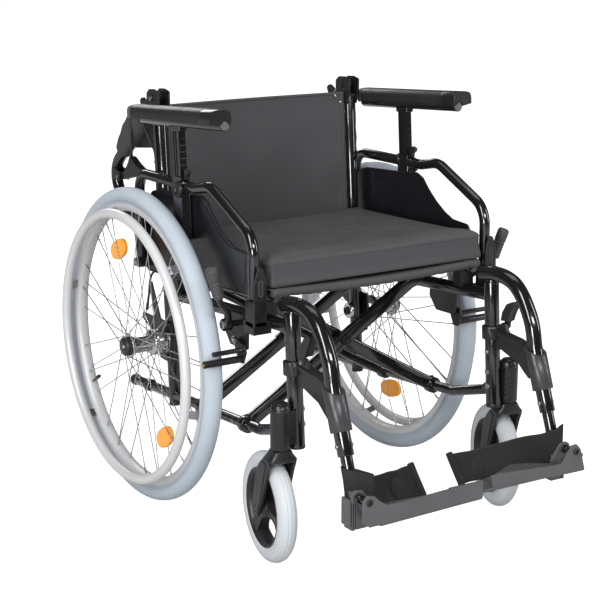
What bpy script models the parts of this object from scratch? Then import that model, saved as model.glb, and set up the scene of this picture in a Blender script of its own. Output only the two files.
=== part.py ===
"""Lightweight folding wheelchair, built as separate jointed pieces.

Metres, Z up, the chair faces -Y and its right-hand side is at -X. Pieces are laid out about the rear
axle line, and the whole chair is moved along Y at the end so that its box is centred on the origin.
"""

import math

import bmesh
import bpy
from mathutils import Matrix, Vector

# Wheels
TYRE_RADIUS = 0.305
TYRE_HALF_WIDTH = 0.018
TYRE_STEPS = 40
WHEEL_X = 0.286
TYRE_DEPTH = 0.0318
RIM_RADIUS = TYRE_RADIUS - TYRE_DEPTH
HANDRIM_X = 0.324
HANDRIM_INSET = 0.0152
HANDRIM_RADIUS = RIM_RADIUS - HANDRIM_INSET
HANDRIM_TUBE = 0.0095
HANDRIM_STEPS = 36
SPOKE_PAIRS = 8
SPOKE_RADIUS = 0.00085
AXLE_Z = TYRE_RADIUS * math.cos(math.pi / TYRE_STEPS)
# The tyre radius for which the wheel lock's points are drawn; the lock moves with the tyre from there.
LOCK_REACH = 0.305

# Casters
CASTER_RADIUS = 0.100
CASTER_HALF_WIDTH = 0.0175
CASTER_STEPS = 24
CASTER_TRAIL = 0.052
CASTER_AXLE_Z = CASTER_RADIUS * math.cos(math.pi / CASTER_STEPS)
STEM_X = 0.2505
STEM_Y = -0.4615
SWIVEL = {-1: -8.8, 1: -17.2}

# Side frame, drawn in a plane tilted back: u runs forward along the side tubes, v up along the back cane
FRAME_X = 0.2168
TILT = math.radians(4.2)
CORNER_Y = -0.010
CORNER_Z = 0.192
CANE_RADIUS = 0.012
LOWER_RADIUS = 0.010
UPPER_RADIUS = 0.012
FRONT_RADIUS = 0.014
FRONT_U = 0.4525
FRONT_TOP = 0.2305
UPPER_V = 0.2055
RAIL_V = 0.252
RAIL_RADIUS = 0.011
CANE_TOP = 0.562

# Seat
SLING_THICK = 0.003
SEAT_V = RAIL_V + RAIL_RADIUS + 0.0003 + SLING_THICK
CUSHION_THICK = 0.050
CUSHION_HALF = 0.232
CUSHION_REAR = 0.0135
CUSHION_FRONT = 0.412
CUSHION_CROWN = 0.006

# Cross brace
ARM_U = (0.1083, 0.2707)
ARM_STEP = 0.009
ARM_HALF_THICK = 0.008
ARM_HALF_WIDE = 0.013

# Back hinge and folded upper cane
HINGE = (0.040, 0.772)
CANE_DIRECTION = (0.7755, -0.6313)
GRIP_END = (0.085, 0.475)
CANE_CORNER = (0.256, 0.5961)

# Hanger and footrest
HANGER_RADIUS = 0.014
FOOT_RADIUS = 0.0105
LEAN = math.radians(20.5)
STRAIGHT_TOP = (-0.573, 0.3555)
STRAIGHT_LENGTH = 0.1126
PLATE_PIVOT_X = 0.222
PLATE_PIVOT_Z = 0.193
LIP_FRONT = -0.706

# Armrest
ARMREST_X = 0.252
ARMREST_RADIUS = 0.010
ARMREST_PIVOT = (0.050, 0.455)
GUARD_X = 0.2402
GUARD_THICK = 0.003

GAP = 0.0003
SMOOTH_ANGLE = 40
REAR_REACH = TYRE_RADIUS * math.cos(math.pi / TYRE_STEPS)
SHIFT_Y = -(LIP_FRONT + REAR_REACH) / 2

for old in list(bpy.data.objects):
    bpy.data.objects.remove(old)

CHAIR = bpy.data.collections.new("lightweight_wheelchair")
WORK = bpy.data.collections.new("work")
for collection in (CHAIR, WORK):
    bpy.context.scene.collection.children.link(collection)


def paint(name, colour, roughness, metallic=0.0):
    material = bpy.data.materials.new(name)
    material.use_nodes = True
    shader = material.node_tree.nodes["Principled BSDF"]
    shader.inputs["Base Color"].default_value = (*colour, 1.0)
    shader.inputs["Roughness"].default_value = roughness
    shader.inputs["Metallic"].default_value = metallic
    material.diffuse_color = (*colour, 1.0)
    return material


FINISH = {
    "frame": ((0.012, 0.012, 0.014), 0.18, 0.0),
    "dark": ((0.02, 0.02, 0.022), 0.4, 0.0),
    "steel": ((0.55, 0.56, 0.58), 0.25, 1.0),
    "silver": ((0.7, 0.71, 0.73), 0.2, 1.0),
    "tyre": ((0.42, 0.45, 0.50), 0.7, 0.0),
    "caster_tyre": ((0.45, 0.46, 0.48), 0.7, 0.0),
    "pad": ((0.06, 0.06, 0.065), 0.6, 0.0),
    "fabric": ((0.05, 0.05, 0.055), 0.85, 0.0),
    "webbing": ((0.02, 0.02, 0.022), 0.9, 0.0),
    "grip": ((0.03, 0.022, 0.02), 0.65, 0.0),
    "plastic": ((0.035, 0.036, 0.038), 0.5, 0.0),
}


def side_point(u, v):
    """(Y, Z) of a point of the tilted side frame."""
    y = CORNER_Y - u * math.cos(TILT) + v * math.sin(TILT)
    z = CORNER_Z + u * math.sin(TILT) + v * math.cos(TILT)
    return y, z


def frame_point(side, u, v, x=FRAME_X):
    return Vector((side * x, *side_point(u, v)))


def leg_point(length):
    """(Y, Z) down the straight of the hanger from its top."""
    return STRAIGHT_TOP[0] - length * math.sin(LEAN), STRAIGHT_TOP[1] - length * math.cos(LEAN)


def cane_point(length, across=0.0):
    """(Y, Z) along the folded upper cane from its hinge."""
    along = CANE_DIRECTION
    return HINGE[0] + length * along[0] - across * along[1], HINGE[1] + length * along[1] + across * along[0]


def arc_points(centre, radius, start, end, steps):
    angles = [math.radians(start + (end - start) * i / steps) for i in range(steps + 1)]
    return [(centre[0] + radius * math.cos(a), centre[1] + radius * math.sin(a)) for a in angles]


def rounded(points, radius, steps=4):
    """The path with each inner corner turned into an arc."""
    points = [Vector(p) for p in points]
    path = [points[0]]
    for before, corner, after in zip(points, points[1:], points[2:]):
        into = (before - corner).normalized()
        out = (after - corner).normalized()
        half = into.angle(out) / 2
        reach = radius / math.tan(half)
        centre = corner + (into + out).normalized() * radius / math.sin(half)
        start = corner + into * reach - centre
        end = corner + out * reach - centre
        for i in range(steps + 1):
            t = i / steps
            turn = start.angle(end)
            arm = (start * math.sin((1 - t) * turn) + end * math.sin(t * turn)) / math.sin(turn)
            path.append(centre + arm)
    return path + [points[-1]]


def piece_of(mesh):
    piece = bpy.data.objects.new("piece", mesh)
    WORK.objects.link(piece)
    return piece


def piece_from(shape):
    mesh = bpy.data.meshes.new("piece")
    shape.to_mesh(mesh)
    shape.free()
    return piece_of(mesh)


def baked(source, place=Matrix.Identity(4)):
    """The evaluated mesh of an object as a plain piece, with its open seams closed."""
    bpy.context.view_layer.update()
    evaluated = source.evaluated_get(bpy.context.evaluated_depsgraph_get())
    mesh = bpy.data.meshes.new_from_object(evaluated)
    mesh.transform(place @ source.matrix_world)
    shape = bmesh.new()
    shape.from_mesh(mesh)
    bmesh.ops.remove_doubles(shape, verts=shape.verts, dist=1e-6)
    shape.to_mesh(mesh)
    shape.free()
    bpy.data.objects.remove(source)
    return piece_of(mesh)


def box(low, high):
    low, high = Vector(low), Vector(high)
    size = [abs(a) for a in high - low]
    shape = bmesh.new()
    bmesh.ops.create_cube(
        shape, size=1.0, matrix=Matrix.Translation((low + high) / 2) @ Matrix.Diagonal((*size, 1.0))
    )
    return piece_from(shape)


def rod(start, end, radius, sides=12, end_radius=None, turn=0.0):
    start, end = Vector(start), Vector(end)
    axis = end - start
    place = Matrix.Translation((start + end) / 2) @ axis.to_track_quat("Z", "Y").to_matrix().to_4x4()
    shape = bmesh.new()
    bmesh.ops.create_cone(
        shape,
        cap_ends=True,
        cap_tris=False,
        segments=sides,
        radius1=radius,
        radius2=radius if end_radius is None else end_radius,
        depth=axis.length,
        matrix=place @ Matrix.Rotation(turn, 4, "Z"),
    )
    return piece_from(shape)


def pin(side, x_from, x_to, y, z, radius, sides=12):
    """A rod across the chair."""
    return rod((side * x_from, y, z), (side * x_to, y, z), radius, sides)


def tube(points, radius, bevel=2, ring=False):
    curve = bpy.data.curves.new("path", "CURVE")
    curve.dimensions = "3D"
    curve.bevel_depth = radius
    curve.bevel_resolution = bevel
    curve.use_fill_caps = not ring
    spline = curve.splines.new("POLY")
    spline.points.add(len(points) - 1)
    for target, point in zip(spline.points, points):
        target.co = (*point, 1.0)
    spline.use_cyclic_u = ring
    source = bpy.data.objects.new("path", curve)
    WORK.objects.link(source)
    return baked(source)


def prism(outlines, place, depth):
    """Flat outlines in local X and Y, the inner ones holes, drawn out to both sides along local Z."""
    curve = bpy.data.curves.new("outline", "CURVE")
    curve.dimensions = "2D"
    curve.fill_mode = "BOTH"
    curve.extrude = depth / 2
    for outline in outlines:
        spline = curve.splines.new("POLY")
        spline.points.add(len(outline) - 1)
        for target, point in zip(spline.points, outline):
            target.co = (point[0], point[1], 0.0, 1.0)
        spline.use_cyclic_u = True
    source = bpy.data.objects.new("outline", curve)
    WORK.objects.link(source)
    return baked(source, place)


def plate(side, x_from, x_to, *outlines):
    """A flat plate facing sideways, from outlines in Y and Z."""
    to_side = Matrix(((0, 0, 1, 0), (1, 0, 0, 0), (0, 1, 0, 0), (0, 0, 0, 1)))
    middle = Matrix.Translation((side * (x_from + x_to) / 2, 0, 0))
    return prism(outlines, middle @ to_side, x_to - x_from)


def across(y_from, y_to, *outlines):
    """A flat plate facing forward, from outlines in X and Z."""
    to_front = Matrix(((1, 0, 0, 0), (0, 0, -1, 0), (0, 1, 0, 0), (0, 0, 0, 1)))
    middle = Matrix.Translation((0, (y_from + y_to) / 2, 0))
    return prism(outlines, middle @ to_front, y_to - y_from)


def turned(profile, steps, place, closed=False):
    """A profile of (radius, height), outer side running down, turned about local Z."""
    mesh = bpy.data.meshes.new("profile")
    count = len(profile)
    edges = [(i, i + 1) for i in range(count - 1)]
    if closed:
        edges.append((count - 1, 0))
    mesh.from_pydata([(r, 0.0, z) for r, z in profile], edges, [])
    source = bpy.data.objects.new("profile", mesh)
    WORK.objects.link(source)
    screw = source.modifiers.new("turn", "SCREW")
    screw.steps = steps
    screw.render_steps = steps
    screw.use_merge_vertices = True
    screw.merge_threshold = 1e-5
    piece = baked(source, place)
    shape = bmesh.new()
    shape.from_mesh(piece.data)
    bmesh.ops.recalc_face_normals(shape, faces=shape.faces)
    shape.to_mesh(piece.data)
    shape.free()
    return piece


def sideways(side, y, z, phase=0.0):
    """Local Z along X towards the outside of the given side, local X pointing down."""
    turn = Matrix(((0, 0, side, 0), (0, side, 0, 0), (-1, 0, 0, 0), (0, 0, 0, 1)))
    return Matrix.Translation((0, y, z)) @ turn @ Matrix.Rotation(phase, 4, "Z")


def moved(piece, matrix):
    piece.data.transform(matrix)
    return piece


def joined(pieces, cuts=()):
    """One solid from overlapping pieces, less the cutters."""
    first = pieces[0]
    spent = []
    for operation, others in (("UNION", pieces[1:]), ("DIFFERENCE", cuts)):
        if not others:
            continue
        group = bpy.data.collections.new("operands")
        bpy.context.scene.collection.children.link(group)
        for other in others:
            group.objects.link(other)
        boolean = first.modifiers.new(operation.lower(), "BOOLEAN")
        boolean.operation = operation
        boolean.solver = "EXACT"
        boolean.operand_type = "COLLECTION"
        boolean.collection = group
        spent.append((group, others))
    result = baked(first)
    for group, others in spent:
        for other in others:
            bpy.data.objects.remove(other)
        bpy.data.collections.remove(group)
    return result


def body(name, pivot, parent=None):
    """An empty on a joint axis, which the pieces of one moving body hang from."""
    holder = bpy.data.objects.new(name, None)
    holder.empty_display_size = 0.02
    CHAIR.objects.link(holder)
    pivot = Vector(pivot)
    holder["pivot"] = pivot
    holder.parent = parent
    holder.location = pivot - (Vector(parent["pivot"]) if parent else Vector())
    return holder


def keep(name, holder, finish, pieces, cuts=()):
    """Joins the pieces into the named part, with its origin on its body's axis."""
    part = joined(pieces, cuts)
    part.name = name
    part.data.name = name
    part.data.transform(Matrix.Translation(-Vector(holder["pivot"])))
    part.data.shade_smooth()
    part.data.set_sharp_from_angle(angle=math.radians(SMOOTH_ANGLE))
    part.data.materials.clear()
    part.data.materials.append(paint(name, *FINISH[finish]))
    part.parent = holder
    WORK.objects.unlink(part)
    CHAIR.objects.link(part)
    return part


def bored(radius, sides):
    """The radius of a many-sided bore whose flats just clear a round bar of this radius."""
    return (radius + GAP) / math.cos(math.pi / sides)


def side_frame(side, name, holder):
    def at(u, v, x=FRAME_X):
        return frame_point(side, u, v, x)

    x = side * FRAME_X
    bend = side_point(0.329, 0)
    front = side_point(FRONT_U, 0.028)
    lower = [(x, *side_point(-0.172, 0)), (x, *bend), (x, *front)]
    hinge_plate = [
        (0.0190, 0.735), (0.0110, 0.760), (0.0106, 0.786), (0.030, 0.790), (0.050, 0.7885),
        (0.0614, 0.780), (0.0614, 0.762), (0.050, 0.750), (0.046, 0.735),
    ]
    armrest_plate = [(-0.002, 0.440), (-0.002, 0.470), (0.052, 0.467), (0.062, 0.455), (0.052, 0.443)]
    pieces = [
        rod(at(0, -0.016), at(0, CANE_TOP), CANE_RADIUS, 10),
        tube(rounded(lower, 0.05, 3), LOWER_RADIUS),
        rod(at(-0.118, 0), at(-0.100, 0), 0.0125, 10),
        rod(at(-0.178, 0), at(-0.168, 0), 0.0115, 10),
        rod(at(-0.002, UPPER_V), at(FRONT_U, UPPER_V), UPPER_RADIUS, 10),
        rod(at(FRONT_U, -0.004), at(FRONT_U, FRONT_TOP), FRONT_RADIUS, 12),
        plate(side, FRAME_X + 0.0088, FRAME_X + 0.0125, hinge_plate),
        plate(side, FRAME_X - 0.0125, FRAME_X - 0.0088, hinge_plate),
        pin(side, FRAME_X - 0.0145, FRAME_X + 0.0145, *HINGE, 0.0042),
        plate(side, FRAME_X + 0.0107, 0.2365, armrest_plate),
        pin(side, 0.235, 0.265, *ARMREST_PIVOT, 0.0045, 10),
        pin(side, 0.2640, 0.2665, *ARMREST_PIVOT, 0.008, 10),
        pin(side, 0.2020, 0.2168, *side_point(FRONT_U, 0.035), 0.006, 8),
        pin(side, 0.2020, 0.2168, *side_point(FRONT_U, 0.062), 0.006, 8),
        rod((x, -0.381, 0.402), (x, -0.381, 0.420), 0.005, 8),
    ]
    for u in (0.052, 0.368):
        seat = box((-0.014, -0.011, 0.010), (0.014, 0.011, 0.054))
        place = Matrix.Translation(at(u, UPPER_V)) @ Matrix.Rotation(-TILT, 4, "X")
        pieces.append(moved(seat, place))
    cuts = [
        rod(at(-0.01, RAIL_V), at(0.43, RAIL_V), bored(RAIL_RADIUS, 12), 12),
        moved(
            box((-bored(RAIL_RADIUS, 12), -0.22, 0), (bored(RAIL_RADIUS, 12), 0.22, 0.03)),
            Matrix.Translation(at(0.21, RAIL_V)) @ Matrix.Rotation(-TILT, 4, "X"),
        ),
        rod(at(FRONT_U, 0.147), at(FRONT_U, FRONT_TOP + 0.01), bored(0.009, 12), 12),
        pin(side, 0.19, 0.25, 0.0, AXLE_Z, bored(0.006, 12)),
    ]
    # The rail's cutters run past the cane and the front tube, so both are put back whole afterwards.
    frame = joined([pieces[-2], pieces[-1], pieces[4]], cuts[:2])
    keep(name, holder, "frame", [frame, *pieces[:4], *pieces[5:-2]], cuts[2:])


def caster(side, tag, frame):
    stem = Vector((side * STEM_X, STEM_Y, 0))
    place = Matrix.Translation(stem) @ Matrix.Rotation(math.radians(SWIVEL[side]), 4, "Z")
    housing = [(0, 0.308), (0.013, 0.305), (0.018, 0.298), (0.018, 0.226), (0.016, 0.223)]
    housing += [(bored(0.006, 12), 0.223), (bored(0.006, 12), 0.297), (0, 0.297)]
    low = (side * 0.2240, -0.478, 0.235)
    high = (side * 0.2505, -0.4500, 0.290)
    front_tube = rod(
        frame_point(side, FRONT_U, -0.03), frame_point(side, FRONT_U, 0.2), bored(FRONT_RADIUS, 24), 24
    )
    bore = rod((stem.x, stem.y, 0.2), (stem.x, stem.y, 0.297), bored(0.006, 12), 12)
    block = joined([box(low, high)], [front_tube])
    keep(
        f"{tag}_caster_housing", frame, "dark", [turned(housing, 12, Matrix.Translation(stem)), block], [bore]
    )

    swivel = body(f"{tag}_caster_swivel", (stem.x, stem.y, 0.21), frame)
    blade = [
        (-0.020, 0.2120), (-0.022, 0.196), (0.034, 0.092), (0.046, 0.085), (0.060, 0.086),
        (0.068, 0.096), (0.067, 0.108), (0.030, 0.190), (0.028, 0.2120),
    ]
    spare = [arc_points(c, 0.0035, 0, -288, 4) for c in ((0.0435, 0.121), (0.0350, 0.142))]
    fork = [
        box((-0.0255, -0.020, 0.203), (0.0255, 0.028, 0.2120)),
        turned([(0, 0.2147), (0.0185, 0.2147), (0.0185, 0.206), (0, 0.206)], 12, Matrix.Identity(4)),
        rod((0, 0, 0.21), (0, 0, 0.295), 0.006, 10),
        plate(1, 0.0206, 0.0250, blade, *spare),
        plate(-1, 0.0206, 0.0250, blade, *spare),
        rod((-0.0290, CASTER_TRAIL, CASTER_AXLE_Z), (0.0290, CASTER_TRAIL, CASTER_AXLE_Z), 0.0043, 10),
    ]
    for end in (-1, 1):
        head = (end * 0.0240, CASTER_TRAIL, CASTER_AXLE_Z), (end * 0.0290, CASTER_TRAIL, CASTER_AXLE_Z)
        fork.append(rod(*head, 0.0085, 6))
    keep(f"{tag}_caster_fork", swivel, "dark", [moved(piece, place) for piece in fork])

    centre = place @ Vector((0, CASTER_TRAIL, CASTER_AXLE_Z))
    roll = body(f"{tag}_caster_roll", centre, swivel)
    about = place @ sideways(1, CASTER_TRAIL, CASTER_AXLE_Z, math.pi / CASTER_STEPS)
    tread = [
        (CASTER_RADIUS, 0.009), (CASTER_RADIUS, -0.009), (0.093, -0.0165), (0.082, -CASTER_HALF_WIDTH),
        (0.072, -0.012), (0.072, 0.012), (0.082, CASTER_HALF_WIDTH), (0.093, 0.0165),
    ]
    keep(f"{tag}_caster_tyre", roll, "caster_tyre", [turned(tread, CASTER_STEPS, about, True)])
    ring = [(0.0716, 0.0117), (0.0716, -0.0117), (0.0625, -0.0100), (0.0625, 0.0100)]
    hole = bored(0.0043, 12)
    hub = [(0.019, 0.0202), (0.019, -0.0202), (hole, -0.0202), (hole, 0.0202)]
    wheel = [turned(ring, CASTER_STEPS, about, True), turned(hub, 12, about, True)]
    for k in range(3):
        spoke = [(0.010, -0.012), (0.040, -0.009), (0.0660, -0.015), (0.0660, 0.015), (0.040, 0.009), (0.010, 0.012)]
        spin = Matrix.Rotation(math.radians(120 * k + 40), 4, "Z")
        wheel.append(prism([spoke], about @ spin, 0.008))
    keep(f"{tag}_caster_wheel", roll, "plastic", wheel)


def rear_wheel(side, tag, frame):
    pivot = Vector((side * WHEEL_X, 0, AXLE_Z))
    holder = body(f"{tag}_wheel", pivot, frame)
    at_rim = Matrix.Translation((side * WHEEL_X, 0, 0)) @ sideways(side, 0, AXLE_Z, math.pi / TYRE_STEPS)
    shoulder, wall, seat = TYRE_RADIUS - 0.25 * TYRE_DEPTH, TYRE_RADIUS - 0.6 * TYRE_DEPTH, RIM_RADIUS + GAP
    tread = [
        (TYRE_RADIUS, 0.008), (TYRE_RADIUS, -0.008), (shoulder, -0.0165), (wall, -TYRE_HALF_WIDTH), (seat, -0.0115),
        (seat, 0.0115), (wall, TYRE_HALF_WIDTH), (shoulder, 0.0165),
    ]
    keep(f"{tag}_rear_tyre", holder, "tyre", [turned(tread, TYRE_STEPS, at_rim, True)])

    widest, inside = RIM_RADIUS - 0.0082, RIM_RADIUS - 0.0157
    rim = [(RIM_RADIUS, 0.0112), (RIM_RADIUS, -0.0112), (widest, -0.0125), (inside, 0.0), (widest, 0.0125)]
    bore = bored(0.006, 12)
    hub = [
        (0, 0.3225), (0.0130, 0.3225), (0.0145, 0.3120), (0.0235, 0.3110), (0.0235, 0.3080), (0.0165, 0.3055),
        (0.0165, 0.2660), (0.0245, 0.2630), (0.0245, 0.2360), (bore, 0.2360), (bore, 0.3050), (0, 0.3050),
    ]
    wheel = [turned(rim, TYRE_STEPS, at_rim, True), turned(hub, 12, sideways(side, 0, AXLE_Z))]
    for flange, first in ((0.3095, 0.0), (0.2605, 10.0)):
        for k in range(2 * SPOKE_PAIRS):
            lead = 1 if k % 2 else -1
            start = math.radians(first + k * 180 / SPOKE_PAIRS)
            end = start + lead * math.radians(60)
            low = Vector((0.0212 * math.cos(start), 0.0212 * math.sin(start), flange + lead * 0.0012))
            nipple = RIM_RADIUS - 0.0117
            high = Vector((nipple * math.cos(end), nipple * math.sin(end), WHEEL_X + (flange - WHEEL_X) * 0.08))
            place = sideways(side, 0, AXLE_Z)
            wheel.append(rod(place @ low, place @ high, SPOKE_RADIUS, 3))
    keep(f"{tag}_rear_wheel", holder, "steel", wheel)

    place = sideways(side, 0, AXLE_Z)
    turns = [math.tau * (k + 0.5) / HANDRIM_STEPS for k in range(HANDRIM_STEPS)]
    ring = [place @ Vector((HANDRIM_RADIUS * math.cos(a), HANDRIM_RADIUS * math.sin(a), HANDRIM_X)) for a in turns]
    handrim = [tube(ring, HANDRIM_TUBE, 1, True)]
    for k in range(6):
        a = math.tau * (k + 0.25) / 6
        spot = Vector((widest * math.cos(a), widest * math.sin(a), 0))
        low, high = spot + Vector((0, 0, WHEEL_X + 0.0125 + GAP)), spot + Vector((0, 0, HANDRIM_X - 0.002))
        handrim.append(rod(place @ low, place @ high, 0.004, 4))
    keep(f"{tag}_handrim", holder, "silver", handrim)

    bracket = [(-0.026, 0.262), (-0.026, 0.340), (0.018, 0.345), (0.052, 0.412), (0.066, 0.408), (0.040, 0.342),
               (0.095, 0.342), (0.095, 0.328), (0.030, 0.300), (0.022, 0.264)]
    plates = [
        plate(side, FRAME_X + CANE_RADIUS + GAP, 0.2325, bracket),
        pin(side, 0.2295, 0.2355, 0, AXLE_Z, 0.0235, 20),
        pin(side, 0.1965, 0.3040, 0, AXLE_Z, 0.006),
        pin(side, 0.1965, FRAME_X - CANE_RADIUS - GAP, 0, AXLE_Z, 0.016, 16),
        pin(side, 0.1925, 0.2000, 0, AXLE_Z, 0.009, 6),
    ]
    keep(f"{tag}_axle_plate", frame, "steel", plates)


def armrest(side, tag, frame):
    pivot = Vector((side * FRAME_X, *ARMREST_PIVOT))
    holder = body(f"{tag}_armrest", pivot, frame)
    x = side * ARMREST_X
    path = [
        (x, 0.0535, 0.455), (x, 0.0535, 0.6300), (x, -0.1750, 0.6325), (x, -0.2290, 0.6435),
        (x, -0.3765, 0.5770), (x, -0.3765, 0.4338),
    ]
    bends = rounded(path[:3], 0.035, 3) + rounded(path[2:], 0.022, 2)[1:]
    socket_low = frame_point(side, 0.1426, 0.330, 0.2535)
    tilted = Matrix.Translation(socket_low) @ Matrix.Rotation(-TILT, 4, "X")
    post_hole = moved(box((-0.0046, -0.0106, -0.02), (0.0046, 0.0106, 0.15)), tilted)
    pieces = [
        tube(bends, ARMREST_RADIUS),
        pin(side, 0.2425, 0.2615, *ARMREST_PIVOT, 0.0115, 12),
        moved(box((-0.0085, -0.0150, 0), (0.0085, 0.0150, 0.115)), tilted),
        moved(rod((side * 0.006, 0.004, 0.078), (side * 0.0185, 0.004, 0.078), 0.0095, 12), tilted),
        moved(rod((side * 0.006, -0.006, 0.102), (side * 0.0125, -0.006, 0.102), 0.0065, 8), tilted),
    ]
    cuts = [post_hole, pin(side, 0.23, 0.27, *ARMREST_PIVOT, bored(0.0045, 12))]
    keep(f"{tag}_armrest_frame", holder, "frame", pieces, cuts)

    guard = [
        (-0.178, 0.620), (-0.006, 0.6185), (0.030, 0.614), (0.052, 0.594), (0.064, 0.480), (0.060, 0.452),
        (0.046, 0.438), (-0.060, 0.442), (-0.240, 0.462), (-0.335, 0.468), (-0.347, 0.478), (-0.350, 0.528),
        (-0.340, 0.541), (-0.294, 0.5435), (-0.268, 0.5540), (-0.240, 0.5710), (-0.216, 0.590), (-0.196, 0.610),
    ]
    hole = arc_points(ARMREST_PIVOT, 0.0065, 0, -330, 11)
    low, high = GUARD_X - GUARD_THICK / 2, GUARD_X + GUARD_THICK / 2
    keep(f"{tag}_skirt_guard", holder, "plastic", [plate(side, low, high, guard, hole)])

    top = body(f"{tag}_pad_slide", frame_point(side, 0.1426, 0.445, 0.2535), holder)
    rail_low, rail_high = frame_point(side, -0.030, 0.545, 0.2535), frame_point(side, 0.3125, 0.545, 0.2535)
    bar = frame_point(side, 0.1426, 0.372, 0.2535)
    place = Matrix.Translation(bar) @ Matrix.Rotation(-TILT, 4, "X")
    post = [
        rod(rail_low, rail_high, 0.0095, 12),
        moved(box((-0.0042, -0.0102, 0), (0.0042, 0.0102, 0.172)), place),
    ]
    notches = []
    for k in range(4):
        notch = box((-0.01, -0.0115, -0.0022), (0.01, -0.0072, 0.0022))
        notches.append(moved(notch, place @ Matrix.Translation((0, 0, 0.095 + 0.014 * k))))
    keep(f"{tag}_armrest_post", top, "frame", post, notches)
    section = [(0.0300, -0.0110), (0.0300, 0.0040), (0.0255, 0.0112), (-0.0070, 0.0112), (-0.0120, 0.0055), (-0.0120, -0.0110)]
    middle = frame_point(side, 0.138, 0.5604, 0.2535)
    along = Matrix(((side, 0, 0, 0), (0, 0, 1, 0), (0, 1, 0, 0), (0, 0, 0, 1)))
    pad = prism([section], Matrix.Translation(middle) @ Matrix.Rotation(-TILT, 4, "X") @ along, 0.356)
    shape = bmesh.new()
    shape.from_mesh(pad.data)
    bmesh.ops.recalc_face_normals(shape, faces=shape.faces)
    shape.to_mesh(pad.data)
    shape.free()
    groove = rod(
        frame_point(side, -0.0303, 0.545, 0.2535), frame_point(side, 0.3128, 0.545, 0.2535), bored(0.0095, 16), 16
    )
    keep(f"{tag}_armrest_pad", top, "pad", [pad], [groove])

    low_y, high_y = -0.3985, -0.3635
    receiver = [
        box((side * (FRAME_X + UPPER_RADIUS + GAP), low_y, 0.411), (side * 0.2655, high_y, 0.4335)),
        box((side * 0.2425, low_y, 0.425), (side * 0.2615, -0.3940, 0.517)),
        rod((side * 0.252, low_y, 0.516), (side * 0.252, -0.3940, 0.516), 0.0095, 12),
        box((side * 0.2628, low_y, 0.425), (side * 0.2655, -0.370, 0.470)),
        box((side * 0.2385, low_y, 0.425), (side * 0.2412, -0.370, 0.470)),
        box((side * 0.2385, low_y, 0.425), (side * 0.2655, -0.3940, 0.470)),
    ]
    slot = box((side * 0.2500, -0.41, 0.500), (side * 0.2540, -0.38, 0.518))
    keep(f"{tag}_armrest_receiver", frame, "frame", receiver, [slot])


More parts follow.
